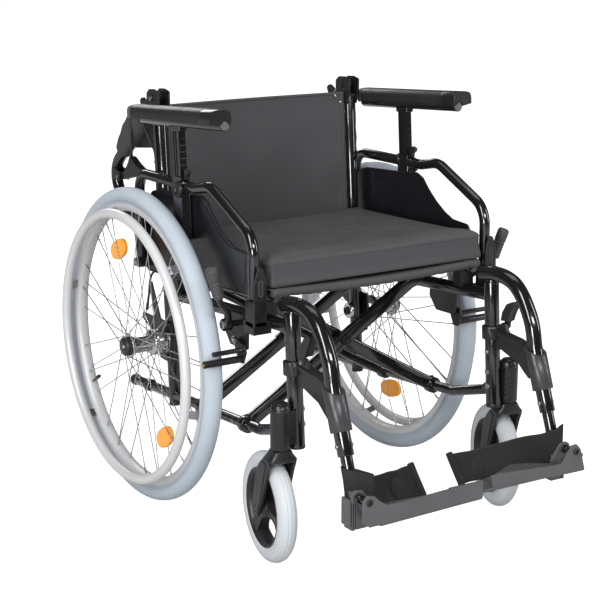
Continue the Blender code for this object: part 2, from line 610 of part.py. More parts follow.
def hanger(side, tag, frame):
    x = side * FRAME_X
    pivot = frame_point(side, FRONT_U, 0.2)
    holder = body(f"{tag}_hanger_swing", pivot, frame)
    bend = [(-0.4185, 0.4660), (-0.455, 0.4715), (-0.490, 0.4705), (-0.515, 0.461), (-0.540, 0.437), (-0.562, 0.400)]
    path = [(x, *p) for p in bend] + [(x, *STRAIGHT_TOP), (x, *leg_point(STRAIGHT_LENGTH))]
    bracket = [
        (-0.4560, 0.345), (-0.4560, 0.370), (-0.516, 0.396), (-0.545, 0.393), (-0.566, 0.388), (-0.572, 0.3625),
        (-0.558, 0.360), (-0.5515, 0.352), (-0.5515, 0.335), (-0.5575, 0.318), (-0.5505, 0.306), (-0.5445, 0.318),
        (-0.540, 0.352), (-0.480, 0.342),
    ]
    pieces = [
        tube(path, HANGER_RADIUS, 3),
        rod(frame_point(side, FRONT_U, 0.152), frame_point(side, FRONT_U, 0.2455), 0.009, 12),
        rod(frame_point(side, FRONT_U, 0.124), frame_point(side, FRONT_U, 0.149), 0.0190, 12),
        plate(side, FRAME_X - 0.0035, FRAME_X + 0.0035, bracket),
        pin(side, FRAME_X, 0.2272, -0.486, 0.380, 0.0032, 8),
        pin(side, 0.2252, 0.2272, -0.486, 0.380, 0.0055, 8),
    ]
    collar = rod(frame_point(side, FRONT_U, 0.10), frame_point(side, FRONT_U, 0.18), bored(FRONT_RADIUS, 12), 12)
    upper_pin = pieces.pop(1)
    lower = joined(pieces, [collar])
    socket = rod((x, *leg_point(0.012)), (x, *leg_point(STRAIGHT_LENGTH + 0.01)), bored(FOOT_RADIUS, 12), 12)
    keep(f"{tag}_hanger", holder, "frame", [lower, upper_pin], [socket])

    sleeve = rod((x, *leg_point(0.002)), (x, *leg_point(0.072)), 0.020, 16)
    inner = rod((x, *leg_point(-0.02)), (x, *leg_point(0.09)), bored(HANGER_RADIUS, 16), 16)
    keep(f"{tag}_hanger_sleeve", holder, "plastic", [sleeve], [inner])

    catch = body(f"{tag}_hanger_lock", (x, -0.486, 0.380), holder)
    arm = [(-0.478, 0.374), (-0.476, 0.384), (-0.483, 0.391), (-0.499, 0.424), (-0.505, 0.4305), (-0.514, 0.4305),
           (-0.514, 0.423), (-0.505, 0.418), (-0.494, 0.384), (-0.492, 0.373), (-0.486, 0.3705)]
    eye = arc_points((-0.486, 0.380), bored(0.0032, 10), 0, -324, 9)
    keep(f"{tag}_hanger_lock_lever", catch, "dark", [plate(side, 0.2208, 0.2249, arm, eye)])

    slide = body(f"{tag}_foot_slide", (x, *leg_point(STRAIGHT_LENGTH)), holder)
    stop = PLATE_PIVOT_X, PLATE_PIVOT_Z
    front = LIP_FRONT + (0.001 if side < 0 else 0.0075)
    foot = [
        rod((x, *leg_point(0.045)), (x, *leg_point(0.184)), FOOT_RADIUS, 12),
        box((side * 0.2100, -0.6495, 0.1720), (side * 0.2570, -0.6260, 0.2070)),
        rod((side * stop[0], -0.640, stop[1]), (side * stop[0], front, stop[1]), 0.0050, 10),
        rod((side * stop[0], -0.6655, stop[1]), (side * stop[0], -0.6565, stop[1]), 0.0085, 10),
        rod((x, -0.622, 0.205), (x, -0.6008, 0.205), 0.0060, 8),
    ]
    keep(f"{tag}_foot_tube", slide, "frame", foot)

    inner_end = -0.062 if side < 0 else 0.003
    outer_end = side * 0.2270
    band = []
    for k in range(9):
        t = k / 8
        px = outer_end + (inner_end - outer_end) * t
        band.append((px, -0.6005 + 0.022 * math.sin(math.pi * t) * (t > 0.13)))
    back = [(p[0], p[1] + 0.003) for p in reversed(band)]
    strap = prism([band + back], Matrix.Translation((0, 0, 0.1985)), 0.050)
    keep(f"{tag}_heel_strap", slide, "webbing", [strap])

    footplate(side, tag, slide)


def footplate(side, tag, slide):
    holder = body(f"{tag}_footplate_flip", (side * PLATE_PIVOT_X, -0.66, PLATE_PIVOT_Z), slide)
    right = side < 0
    slope = math.tan(math.radians(2 if right else 5))
    reach = 0.220 if right else 0.267
    top = 0.163 if right else 0.177
    front = LIP_FRONT if right else LIP_FRONT + 0.0065
    thick = 0.006

    def tread(start, end):
        corners = [(start, top), (end, top), (end, top - thick), (start, top - thick)]
        return [(side * (PLATE_PIVOT_X - a), b + slope * a) for a, b in corners]

    lip_end = 0.220 if right else 0.200
    rise = top + slope * lip_end
    lip = [
        (0.243, 0.165), (0.243, 0.202), (0.236, 0.213), (0.222, 0.2135), (0.208, 0.206), (0.190, 0.190),
        (0.172, top + slope * 0.05 + 0.019), (PLATE_PIVOT_X - lip_end, rise + 0.020),
        (PLATE_PIVOT_X - lip_end, rise - thick - 0.002), (0.205, top - thick - 0.001), (0.236, 0.158),
    ]
    lug = [(0.2325, 0.184), (0.2325, 0.201), (0.226, 0.205), (0.212, 0.203), (0.192, 0.176), (0.192, top - 0.001),
           (0.206, top - 0.003), (0.222, 0.180)]
    eye = arc_points((side * PLATE_PIVOT_X, PLATE_PIVOT_Z), bored(0.005, 12), 0, -330, 11)
    pieces = [
        across(front + 0.0015, -0.6500, tread(0.012, reach)),
        across(-0.6520, -0.6070, tread(0.130, reach)),
        across(front, front + 0.0050, [(side * a, b) for a, b in lip], eye),
        across(-0.6560, -0.6505, [(side * a, b) for a, b in lug], eye),
    ]
    keep(f"{tag}_footplate", holder, "plastic", pieces)


def brake(side, tag, frame):
    """The wheel lock, which keeps its place ahead of the tyre."""
    ahead = LOCK_REACH - TYRE_RADIUS

    def bar(start, end, radius, sides=10):
        return rod((side * start[0], *start[1:]), (side * end[0], *end[1:]), radius, sides)

    def set_off(*pieces):
        return [moved(piece, Matrix.Translation((0, ahead, 0))) for piece in pieces]

    outline = [
        (-0.3625, 0.4290), (-0.3625, 0.4090), (-0.323, 0.4040), (-0.321, 0.3620), (-0.262, 0.3600), (-0.240, 0.3850),
        (-0.240, 0.4200),
    ]
    inner = FRAME_X + UPPER_RADIUS + GAP
    bracket = [plate(side, inner, 0.2345, outline)]
    for y, z in ((-0.330, 0.4160), (-0.355, 0.4190), (-0.252, 0.4000), (-0.276, 0.3720)):
        bracket.append(pin(side, 0.2340, 0.2380, y, z, 0.0055, 6))
    bracket.append(pin(side, 0.2340, 0.2665, -0.2900, 0.4060, 0.0055, 10))
    bracket.append(pin(side, 0.2655, 0.2680, -0.2900, 0.4060, 0.0090, 10))
    bracket.append(pin(side, 0.2340, 0.2440, -0.2960, 0.3750, 0.0035, 8))
    bracket.append(pin(side, 0.2432, 0.2450, -0.2960, 0.3750, 0.0060, 8))
    keep(f"{tag}_brake_bracket", frame, "dark", set_off(*bracket))

    lever = body(f"{tag}_brake_lever_turn", (side * 0.262, -0.2900 + ahead, 0.4060), frame)
    pieces = [
        bar((0.2500, -0.2900, 0.4060), (0.2650, -0.2900, 0.4060), 0.0115, 12),
        tube([(side * a, b, c) for a, b, c in (
            (0.2580, -0.2980, 0.4130), (0.2720, -0.3180, 0.4350), (0.2960, -0.3400, 0.4600), (0.3040, -0.3445, 0.4760),
        )], 0.0055),
        bar((0.3020, -0.3440, 0.4720), (0.3215, -0.3510, 0.5280), 0.0110, 12),
    ]
    eye = bar((0.24, -0.2900, 0.4060), (0.28, -0.2900, 0.4060), bored(0.0055, 12), 12)
    keep(f"{tag}_brake_lever", lever, "pad", set_off(*pieces), set_off(eye))

    shoe = body(f"{tag}_brake_shoe_turn", (side * 0.241, -0.2960 + ahead, 0.3750), frame)
    arm = [(-0.288, 0.381), (-0.290, 0.368), (-0.306, 0.338), (-0.320, 0.338), (-0.330, 0.360), (-0.326, 0.373)]
    pieces = [
        plate(side, 0.2383, 0.2429, arm),
        bar((0.2400, -0.3140, 0.3460), (0.3180, -0.3140, 0.3460), 0.0065, 10),
        bar((0.2400, -0.3215, 0.3650), (0.3060, -0.3260, 0.3660), 0.0045, 8),
    ]
    eye = bar((0.23, -0.2960, 0.3750), (0.25, -0.2960, 0.3750), bored(0.0035, 10), 10)
    keep(f"{tag}_brake_shoe", shoe, "dark", set_off(*pieces), set_off(eye))


def upper_cane(side, tag, frame):
    holder = body(f"{tag}_cane_fold", (side * FRAME_X, *HINGE), frame)
    x = side * FRAME_X
    path = rounded([(x, *cane_point(0.029)), (x, *CANE_CORNER), (x, *GRIP_END)], 0.045, 6)
    along = (path[-2] - path[-1]).normalized()
    path[-1] = path[-1] + along * 0.0103
    place = Matrix.Translation((x, *HINGE)) @ Matrix.Rotation(math.atan2(CANE_DIRECTION[1], CANE_DIRECTION[0]), 4, "X")
    latch = [cane_point(*p) for p in ((0.040, 0.008), (0.046, 0.026), (0.050, 0.034), (0.060, 0.034), (0.062, 0.026), (0.066, 0.008))]
    pieces = [
        tube(path, 0.0115),
        pin(side, FRAME_X - 0.0085, FRAME_X + 0.0085, *HINGE, 0.0100, 14),
        moved(box((-0.0085, 0, -0.0090), (0.0085, 0.034, 0.0090)), place),
        plate(side, FRAME_X - 0.004, FRAME_X + 0.004, latch),
        pin(side, FRAME_X - 0.0120, FRAME_X + 0.0120, 0.2000, 0.5990, 0.0035, 8),
    ]
    ear = [(0.192, 0.590), (0.192, 0.609), (0.222, 0.615), (0.226, 0.590)]
    for low, high in ((-0.0120, -0.0078), (0.0078, 0.0120)):
        pieces.append(plate(side, FRAME_X + low, FRAME_X + high, ear))
    eye = pin(side, FRAME_X - 0.02, FRAME_X + 0.02, *HINGE, bored(0.0042, 12))
    keep(f"{tag}_upper_cane", holder, "frame", pieces, [eye])

    start = Vector((x, 0.205, 0.560))
    end = Vector((x, *GRIP_END))
    length = (end - start).length
    profile = [
        (0, length), (0.0130, length), (0.0165, length - 0.006), (0.0165, 0.004), (0.0148, 0),
        (0.0123, 0), (0.0123, length - 0.0100), (0, length - 0.0100),
    ]
    place = Matrix.Translation(start) @ (end - start).to_track_quat("Z", "Y").to_matrix().to_4x4()
    keep(f"{tag}_push_grip", holder, "grip", [turned(profile, 12, place)])

    lever = body(f"{tag}_attendant_lever_turn", (x, 0.2000, 0.5990), holder)
    blade = [(0.2060, 0.5930), (0.2060, 0.6050), (0.1960, 0.6080), (0.1500, 0.6160), (0.1080, 0.6250), (0.1020, 0.6200),
             (0.1060, 0.6130), (0.1500, 0.6020), (0.1940, 0.5920)]
    eye = arc_points((0.2000, 0.5990), bored(0.0035, 10), 0, -324, 9)
    keep(f"{tag}_attendant_lever", lever, "dark", [plate(side, FRAME_X - 0.0070, FRAME_X + 0.0070, blade, eye)])

    lane = FRAME_X + 0.0068
    cable = [(side * 0.2265, 0.0860, 0.3455), (side * 0.2262, 0.0660, 0.4140), (side * lane, *side_point(-0.0155, 0.290)),
             (side * lane, *side_point(-0.0155, 0.480)), (side * lane, 0.062, 0.690), (side * FRAME_X, 0.1000, 0.6750),
             (side * FRAME_X, 0.1500, 0.6500), (side * FRAME_X, 0.1600, 0.6215)]
    keep(f"{tag}_brake_cable", frame, "dark", [tube(rounded(cable, 0.018, 3), 0.0024, 2)])


def cross_arm(name, foot_side, step, holder):
    """Two brace bars from the lower tube of one side to the seat rail of the other, with that rail."""
    x_low, x_high = foot_side * FRAME_X, -foot_side * FRAME_X
    pieces = []
    cuts = []
    angle = math.atan2(RAIL_V, x_high - x_low)
    for u in ARM_U:
        centre = Vector((0, *side_point(u + step, RAIL_V / 2)))
        half = math.hypot(FRAME_X, RAIL_V / 2)
        place = Matrix.Translation(centre) @ Matrix.Rotation(-TILT, 4, "X") @ Matrix.Rotation(-angle, 4, "Y")
        bar = box((-half, -ARM_HALF_THICK, -ARM_HALF_WIDE), (half - 0.004, ARM_HALF_THICK, ARM_HALF_WIDE))
        pieces.append(moved(bar, place))
        foot = [Vector((x_low, *side_point(u + step + reach, 0))) for reach in (-0.0090, 0.0090)]
        pieces.append(rod(*foot, 0.0160, 12))
        front = math.copysign(ARM_HALF_THICK, step)
        boss = Vector((0, *side_point(u + step + front * 0.9, RAIL_V / 2)))
        boss_end = Vector((0, *side_point(u + step + front * 1.6, RAIL_V / 2)))
        pieces.append(rod(boss, boss_end, 0.0100, 12))
        bore = Vector((x_low, *side_point(u + step - 0.02, 0))), Vector((x_low, *side_point(u + step + 0.02, 0)))
        cuts.append(rod(*bore, bored(LOWER_RADIUS, 12), 12))
        if step < 0:
            hole = Vector((0, *side_point(u - ARM_STEP - 0.02, RAIL_V / 2))), Vector((0, *side_point(u, RAIL_V / 2)))
            cuts.append(rod(*hole, bored(0.004, 12), 12))
        else:
            stud = Vector((0, *side_point(u + 0.0135, RAIL_V / 2))), Vector((0, *side_point(u - 0.026, RAIL_V / 2)))
            pieces.append(rod(*stud, 0.004, 10))
    rail = Vector((x_high, *side_point(0.030, RAIL_V))), Vector((x_high, *side_point(0.400, RAIL_V)))
    pieces.append(rod(*rail, RAIL_RADIUS, 12))
    keep(name, holder, "frame", pieces, cuts)


def along_frame(u_from, u_to, outline):
    """An outline in X and v, drawn out along the side tubes."""
    middle = Vector((0, *side_point((u_from + u_to) / 2, 0)))
    face = Matrix(((1, 0, 0, 0), (0, 0, -1, 0), (0, 1, 0, 0), (0, 0, 0, 1)))
    return prism([outline], Matrix.Translation(middle) @ Matrix.Rotation(-TILT, 4, "X") @ face, u_to - u_from)


def sling_curve(half, height, dip, thick, count=12):
    xs = [half * (2 * k / count - 1) for k in range(count + 1)]
    top = [(x, height - dip * (1 - (x / half) ** 2)) for x in xs]
    return top + [(x, z - thick) for x, z in reversed(top)]


def cushion_form(low):
    """A crowned cushion whose sides are drawn in between its corners."""
    length = CUSHION_FRONT - CUSHION_REAR
    middle = Vector((0, *side_point((CUSHION_FRONT + CUSHION_REAR) / 2, low)))
    shape = bmesh.new()
    bmesh.ops.create_cube(shape, size=2.0)
    crease = shape.edges.layers.float.new("crease_edge")
    for edge in shape.edges:
        edge[crease] = 0.8
    bmesh.ops.subdivide_edges(shape, edges=shape.edges, cuts=3, use_grid_fill=True)
    for vert in shape.verts:
        x, y, z = vert.co
        pull = 1 - 0.010 * (1 - z * z)
        rise = 0.5 * (1 + z) * CUSHION_THICK
        if z > 0:
            rise -= CUSHION_CROWN * (1 - (1 - x**4) * (1 - y**4)) * z
        bow = 1 - 0.012 * (1 - y * y), 1 - 0.012 * (1 - x * x)
        vert.co = (x * CUSHION_HALF * pull * bow[0], y * length / 2 * pull * bow[1], rise)
    cage = piece_from(shape)
    subdivision = cage.modifiers.new("soft", "SUBSURF")
    subdivision.levels = 1
    subdivision.render_levels = 1
    return baked(cage, Matrix.Translation(middle) @ Matrix.Rotation(-TILT, 4, "X"))


def seat_and_back(right_frame, arm_b, right_cane):
    dipped = sling_curve(0.195, SEAT_V, 0.010, SLING_THICK)
    seat = [(-0.228, SEAT_V), *dipped[:13], (0.228, SEAT_V), (0.228, SEAT_V - SLING_THICK)]
    seat += [*dipped[13:], (-0.228, SEAT_V - SLING_THICK)]
    keep("seat_sling", arm_b, "fabric", [along_frame(0.030, 0.402, seat)])
    cushion = cushion_form(SEAT_V + GAP)
    keep("seat_cushion", arm_b, "fabric", [cushion])

    half = FRAME_X - 0.0125 - GAP
    middle = Vector((0, *side_point(0, 0.4325)))
    bow = sling_curve(half, 0.0, 0.024, 0.004)
    outline = [(x, -z) for x, z in bow]
    panel = prism([outline], Matrix.Translation(middle) @ Matrix.Rotation(-TILT, 4, "X"), 0.265)
    hems = []
    for side in (-1, 1):
        low, high = frame_point(side, 0, 0.3, half - 0.0045), frame_point(side, 0, 0.565, half - 0.0045)
        hems.append(rod(low, high, 0.0045, 8))
    keep("back_sling", right_frame, "fabric", [panel, *hems])

    pieces = []
    cuts = []
    for side in (-1, 1):
        ends = [(side * FRAME_X, *cane_point(s)) for s in (0.078, 0.205)]
        pieces.append(rod(*ends, 0.0160, 14))
        bore = [(side * FRAME_X, *cane_point(s)) for s in (0.06, 0.22)]
        cuts.append(rod(*bore, bored(0.0115, 14), 14))
    flap_half = FRAME_X - 0.0125
    middle = Vector((0, *cane_point(0.1415)))
    turn = math.atan2(CANE_DIRECTION[1], CANE_DIRECTION[0])
    face = Matrix(((1, 0, 0, 0), (0, 0, -1, 0), (0, 1, 0, 0), (0, 0, 0, 1)))
    sheet = prism(
        [sling_curve(flap_half, 0.004, 0.012, 0.003)],
        Matrix.Translation(middle) @ Matrix.Rotation(turn, 4, "X") @ face,
        0.120,
    )
    keep("back_flap", right_cane, "fabric", [sheet, *pieces], cuts)


def chair():
    root = body("lightweight_wheelchair", (0, 0, 0))
    root.location = (0, SHIFT_Y, 0)
    right_frame = body("right_frame", frame_point(-1, 0, 0), root)
    lower_pivot = frame_point(-1, ARM_U[1] + ARM_STEP, 0)
    arm_a = body("cross_arm_a_fold", lower_pivot, right_frame)
    crossing = Vector((0, *side_point(ARM_U[1], RAIL_V / 2)))
    arm_b = body("cross_arm_b_fold", crossing, arm_a)
    left_frame = body("left_frame", frame_point(1, ARM_U[1] - ARM_STEP, 0), arm_b)
    cross_arm("cross_arm_a", -1, ARM_STEP, arm_a)
    cross_arm("cross_arm_b", 1, -ARM_STEP, arm_b)
    for side, tag, frame in ((-1, "right", right_frame), (1, "left", left_frame)):
        side_frame(side, f"{tag}_side_frame", frame)
        caster(side, tag, frame)
        rear_wheel(side, tag, frame)
        armrest(side, tag, frame)
        hanger(side, tag, frame)
        brake(side, tag, frame)
        upper_cane(side, tag, frame)
    seat_and_back(right_frame, arm_b, bpy.data.objects["right_cane_fold"])


chair()
bpy.data.collections.remove(WORK)
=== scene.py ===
"""Looks of a lightweight folding wheelchair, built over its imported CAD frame.

Metres, Z up. The chair faces -Y and its right-hand side is at -X. Pieces are laid out about the rear axle
line, as in the part's source, and moved along Y when their mesh is made.
"""

import math

import bmesh
import bpy
import numpy as np
from mathutils import Euler, Matrix, Vector
from mathutils.bvhtree import BVHTree


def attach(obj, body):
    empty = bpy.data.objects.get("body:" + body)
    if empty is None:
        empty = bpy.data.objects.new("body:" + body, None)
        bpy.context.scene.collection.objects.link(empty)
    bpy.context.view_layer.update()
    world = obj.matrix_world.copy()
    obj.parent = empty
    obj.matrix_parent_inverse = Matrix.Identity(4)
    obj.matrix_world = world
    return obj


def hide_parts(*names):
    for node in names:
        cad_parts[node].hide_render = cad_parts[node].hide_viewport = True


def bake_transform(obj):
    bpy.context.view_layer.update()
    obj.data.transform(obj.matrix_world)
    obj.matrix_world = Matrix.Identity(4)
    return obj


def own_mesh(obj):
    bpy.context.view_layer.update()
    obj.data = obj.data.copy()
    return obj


bl_info = {
    "name": "Lightweight Wheelchair",
    "version": (1, 0, 0),
    "blender": (4, 5, 0),
    "location": "View3D > Sidebar > Wheelchair",
    "description": "Builds the detailed pieces and finishes of a folding wheelchair",
    "category": "Object",
}

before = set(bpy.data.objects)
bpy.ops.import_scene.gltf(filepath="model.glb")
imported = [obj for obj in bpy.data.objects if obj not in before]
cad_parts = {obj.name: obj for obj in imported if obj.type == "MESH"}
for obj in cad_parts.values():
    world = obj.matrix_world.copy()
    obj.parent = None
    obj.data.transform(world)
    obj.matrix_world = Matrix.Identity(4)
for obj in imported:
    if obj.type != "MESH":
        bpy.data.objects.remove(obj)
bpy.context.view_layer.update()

# Wheels
TYRE_RADIUS = 0.305
TYRE_FLATS = 40
AXLE_Z = TYRE_RADIUS * math.cos(math.pi / TYRE_FLATS)
WHEEL_X = 0.286
RIM_RADIUS = 0.2732
HANDRIM_X = 0.324
HANDRIM_RADIUS = 0.258
HANDRIM_TUBE = 0.0095

# Casters
CASTER_RADIUS = 0.1
CASTER_TRAIL = 0.052
CASTER_AXLE_Z = CASTER_RADIUS * math.cos(math.pi / 24)
STEM_X = 0.2505
STEM_Y = -0.4615
SWIVEL = {-1: -8.8, 1: -17.2}

# Side frame, in a plane tilted back: u runs forward, v runs up
FRAME_X = 0.2168
TILT = math.radians(4.2)
CORNER = (-0.01, 0.192)
CANE_RADIUS = 0.012
LOWER_RADIUS = 0.01
UPPER_RADIUS = 0.012
FRONT_RADIUS = 0.014
FRONT_U = 0.4525
UPPER_V = 0.2055
RAIL_V = 0.252
RAIL_RADIUS = 0.011
CANE_TOP = 0.562
SEAT_V = 0.2663
HINGE = (0.04, 0.772)
CANE_DIRECTION = (0.7755, -0.6313)
CANE_CORNER = (0.256, 0.5961)
GRIP_END = (0.085, 0.475)
LEAN = math.radians(20.5)
STRAIGHT_TOP = (-0.573, 0.3555)
STRAIGHT_LENGTH = 0.1126
PLATE_PIVOT = (0.222, 0.193)
LIP_FRONT = -0.706
ARMREST_X = 0.252
ARMREST_PIVOT = (0.05, 0.455)
POST_X = 0.2535
POST_U = 0.1426
ARM_U = (0.1083, 0.2707)
ARM_STEP = 0.009
SHIFT_Y = -(LIP_FRONT + AXLE_Z) / 2

# Cushion: half its sides, the radius of its edges, and its seams above and below the middle
CUSHION_HALF = (0.23, 0.1975, 0.0245)
CUSHION_EDGE = 0.0085
SEAM_HEIGHT = 0.0185

# Camera: pitch, heading and roll in degrees
CAMERA_SPOT = (-1.5657, -2.6062 + SHIFT_Y, 1.1254)
CAMERA_PITCH, CAMERA_HEADING, CAMERA_ROLL = 75.757, -32.27, 0.0655
CAMERA_LENS = 93.05
SIDES = ((-1, "right"), (1, "left"))


def unit(vectors):
    """Vectors scaled to a length of one."""
    return vectors / np.maximum(np.linalg.norm(vectors, axis=-1, keepdims=True), 1e-12)


def side_point(u, v):
    """(Y, Z) of a point of the tilted side frame."""
    c, s = math.cos(TILT), math.sin(TILT)
    return CORNER[0] - u * c + v * s, CORNER[1] + u * s + v * c


def on_frame(side, u, v, x=FRAME_X):
    """A point of the tilted side frame, or of a plane beside it at another x."""
    return (side * x, *side_point(u, v))


def leg_point(length):
    """(Y, Z) down the straight of the hanger."""
    return STRAIGHT_TOP[0] - length * math.sin(LEAN), STRAIGHT_TOP[1] - length * math.cos(LEAN)


def cane_point(length, across=0.0):
    """(Y, Z) along the folded upper cane from its hinge."""
    a, b = CANE_DIRECTION
    return HINGE[0] + length * a - across * b, HINGE[1] + length * b + across * a


def placed(points, place):
    """Points carried by a 4 x 4 matrix."""
    place = np.asarray(place, float)
    return points @ place[:3, :3].T + place[:3, 3]


def facing(side):
    """Local X and Y become Y and Z, and local Z points out to the given side."""
    return np.array([[0, 0, side, 0], [1, 0, 0, 0], [0, 1, 0, 0], [0, 0, 0, 1]], float)


def forward():
    """Local X and Y become X and Z, and local Z becomes Y."""
    return np.array([[1, 0, 0, 0], [0, 0, 1, 0], [0, 1, 0, 0], [0, 0, 0, 1]], float)


def tilted(side=1, u=0.0, v=0.0, x=0.0):
    """Local axes (x, u, v) of the tilted side frame, from a point of it."""
    c, s = math.cos(TILT), math.sin(TILT)
    y, z = side_point(u, v)
    return np.array([[side, 0, 0, side * x], [0, -c, s, y], [0, s, c, z], [0, 0, 0, 1]], float)


def sideways(side, y, z, x=0.0):
    """Local Z along X to the outside of the given side, local X pointing down."""
    return np.array([[0, 0, side, side * x], [0, side, 0, y], [-1, 0, 0, z], [0, 0, 0, 1]], float)


def aimed(start, end):
    """Local Z from start towards end, with its origin at start."""
    start, end = Vector(start), Vector(end)
    turn = (end - start).to_track_quat("Z", "Y").to_matrix().to_4x4()
    return np.array(Matrix.Translation(start) @ turn, float)


def rounded(points, radius, steps=8):
    """The path with each inner corner turned into a circular arc that is tangent to both of its runs."""
    points = np.asarray(points, float)
    radii = np.broadcast_to(radius, len(points))
    path = [points[:1]]
    for before, corner, after, bend in zip(points, points[1:], points[2:], radii[1:]):
        into, out = unit(before - corner), unit(after - corner)
        half = math.acos(float(np.clip(into @ out, -1, 1))) / 2
        reach = bend / math.tan(half)
        centre = corner + unit(into + out) * bend / math.sin(half)
        start, end = corner + into * reach - centre, corner + out * reach - centre
        turn = math.acos(float(np.clip(unit(start) @ unit(end), -1, 1)))
        t = np.linspace(0, 1, steps + 1)[:, None]
        path.append(centre + (start * np.sin((1 - t) * turn) + end * np.sin(t * turn)) / math.sin(turn))
    return np.concatenate([*path, points[-1:]])


def ringed(outline, radius, steps=4):
    """A closed outline with rounded corners."""
    outline = np.asarray(outline, float)
    middle = (outline[:1] + outline[1:2]) / 2
    around = np.concatenate([middle, outline[1:], outline[:1], middle])
    return rounded(around, radius, steps)[:-1]


def flowing(points, count=40):
    """A smooth curve through the points: a Catmull-Rom spline, sampled evenly in its parameter."""
    points = np.asarray(points, float)
    ends = np.concatenate([[2 * points[0] - points[1]], points, [2 * points[-1] - points[-2]]])
    t = np.linspace(0, len(points) - 1 - 1e-9, count)
    i = t.astype(int)
    f = (t - i)[:, None]
    a, b, c, d = ends[i], ends[i + 1], ends[i + 2], ends[i + 3]
    return 0.5 * (2 * b + (c - a) * f + (2 * a - 5 * b + 4 * c - d) * f**2 + (3 * b - a - 3 * c + d) * f**3)


def lattice(points):
    """A grid of points as quads. Each UV is the distance along the rows and the columns, in metres."""
    rows, columns = points.shape[:2]
    index = np.arange(rows * columns).reshape(rows, columns)
    quads = np.stack([index[:-1, :-1], index[1:, :-1], index[1:, 1:], index[:-1, 1:]], -1).reshape(-1)
    along = np.linalg.norm(np.diff(points, axis=0), axis=2).max(1)
    over = np.linalg.norm(np.diff(points, axis=1), axis=2).max(0)
    u = np.concatenate([[0], np.cumsum(along)])
    v = np.concatenate([[0], np.cumsum(over)])
    uv = np.stack(np.meshgrid(u, v, indexing="ij"), -1).reshape(-1, 2)[quads]
    return points.reshape(-1, 3), quads, np.full(len(quads) // 4, 4), uv


def sweep(path, radius, sides=20, over=(1, 0, 0), rim=0.0008, loop=False, section=None):
    """A profile carried along a path, round unless a section is given.

    The section's first axis keeps close to the given direction. Each free end has a small rounded rim.
    """
    path = np.asarray(path, float)
    if loop:
        path = np.concatenate([path, path[:1]])
        tangent = unit(np.roll(path[:-1], -1, 0) - np.roll(path[:-1], 1, 0))
        tangent = np.concatenate([tangent, tangent[:1]])
    else:
        tangent = unit(np.gradient(path, axis=0))
    normal = unit(np.asarray(over, float) - (tangent @ np.asarray(over, float))[:, None] * tangent)
    other = np.cross(tangent, normal)
    if section is None:
        angle = np.linspace(0, math.tau, sides + 1)
        section = np.stack([np.cos(angle), np.sin(angle)], 1)
    else:
        section = np.concatenate([section, section[:1]])
    radius = np.broadcast_to(np.asarray(radius, float), len(path)).copy()
    centre, scale = path, radius
    if not loop:
        turn = np.linspace(0, math.pi / 2, 4)
        for end in (0, -1):
            sign = 1 if end == 0 else -1
            size = radius[end]
            edge = min(rim, size * 0.5)
            inward = sign * tangent[end] * edge
            sizes = np.concatenate([[0.0], size - edge * (1 - np.sin(turn[:-1]))])
            spots = path[end] + np.concatenate([[0.0], 1 - np.cos(turn[:-1])])[:, None] * inward
            if end == 0:
                centre = np.concatenate([spots, path[:1] + inward, centre[1:]])
                scale = np.concatenate([sizes, [size], scale[1:]])
                normal = np.concatenate([np.repeat(normal[:1], 4, 0), normal])
                other = np.concatenate([np.repeat(other[:1], 4, 0), other])
            else:
                centre = np.concatenate([centre[:-1], path[-1:] + inward, spots[::-1]])
                scale = np.concatenate([scale[:-1], [size], sizes[::-1]])
                normal = np.concatenate([normal, np.repeat(normal[-1:], 4, 0)])
                other = np.concatenate([other, np.repeat(other[-1:], 4, 0)])
    flat = section[:, :1, None].transpose(2, 0, 1) * normal[:, None, :]
    flat = flat + section[:, 1:2, None].transpose(2, 0, 1) * other[:, None, :]
    return lattice(centre[:, None, :] + flat * scale[:, None, None])


def loft(rings):
    """Closed rings of points joined in order, with each end closed to its middle."""
    rings = np.asarray(rings, float)
    rings = np.concatenate([rings, rings[:, :1]], 1)
    middles = rings[:, :-1].mean(1)[:, None, :] + 0 * rings
    return lattice(np.concatenate([middles[:1], rings, middles[-1:]]))


def bar(start, end, radius, sides=20, rim=0.0008):
    """A round bar between two points."""
    start, end = np.asarray(start, float), np.asarray(end, float)
    path = start + np.linspace(0, 1, 3)[:, None] * (end - start)
    over = (1, 0, 0) if abs(unit(end - start)[0]) < 0.9 else (0, 0, 1)
    return sweep(path, radius, sides, over, rim)


def cross_pin(side, x_from, x_to, y, z, radius, sides=18, rim=0.0006):
    """A bar across the chair."""
    return bar((side * x_from, y, z), (side * x_to, y, z), radius, sides, rim)


def rods(starts, ends, radius, sides=6):
    """Many thin straight rods in one patch: a small ring at each end, joined by quads, with flat ends."""
    starts, ends = np.asarray(starts, float), np.asarray(ends, float)
    axis = unit(ends - starts)
    helper = np.where(np.abs(axis[:, :1]) < 0.8, [[1.0, 0, 0]], [[0, 0, 1.0]])
    normal = unit(np.cross(axis, helper))
    other = np.cross(axis, normal)
    angle = np.arange(sides) * math.tau / sides
    ring = np.cos(angle)[None, :, None] * normal[:, None] + np.sin(angle)[None, :, None] * other[:, None]
    points = np.stack([starts[:, None] + radius * ring, ends[:, None] + radius * ring], 1)
    base = np.arange(len(starts))[:, None] * 2 * sides
    k = np.arange(sides)
    n = (k + 1) % sides
    around = np.stack([k, n, n + sides, k + sides], 1).reshape(1, 1, -1)
    quads = (base[:, :, None] + around).reshape(-1)
    caps = np.concatenate([base + k[::-1], base + k + sides], 1).reshape(-1)
    totals = np.concatenate([np.full(len(quads) // 4, 4), np.full(len(caps) // sides, sides)])
    corners = np.concatenate([quads, caps])
    return points.reshape(-1, 3), corners, totals, np.zeros((len(corners), 2))


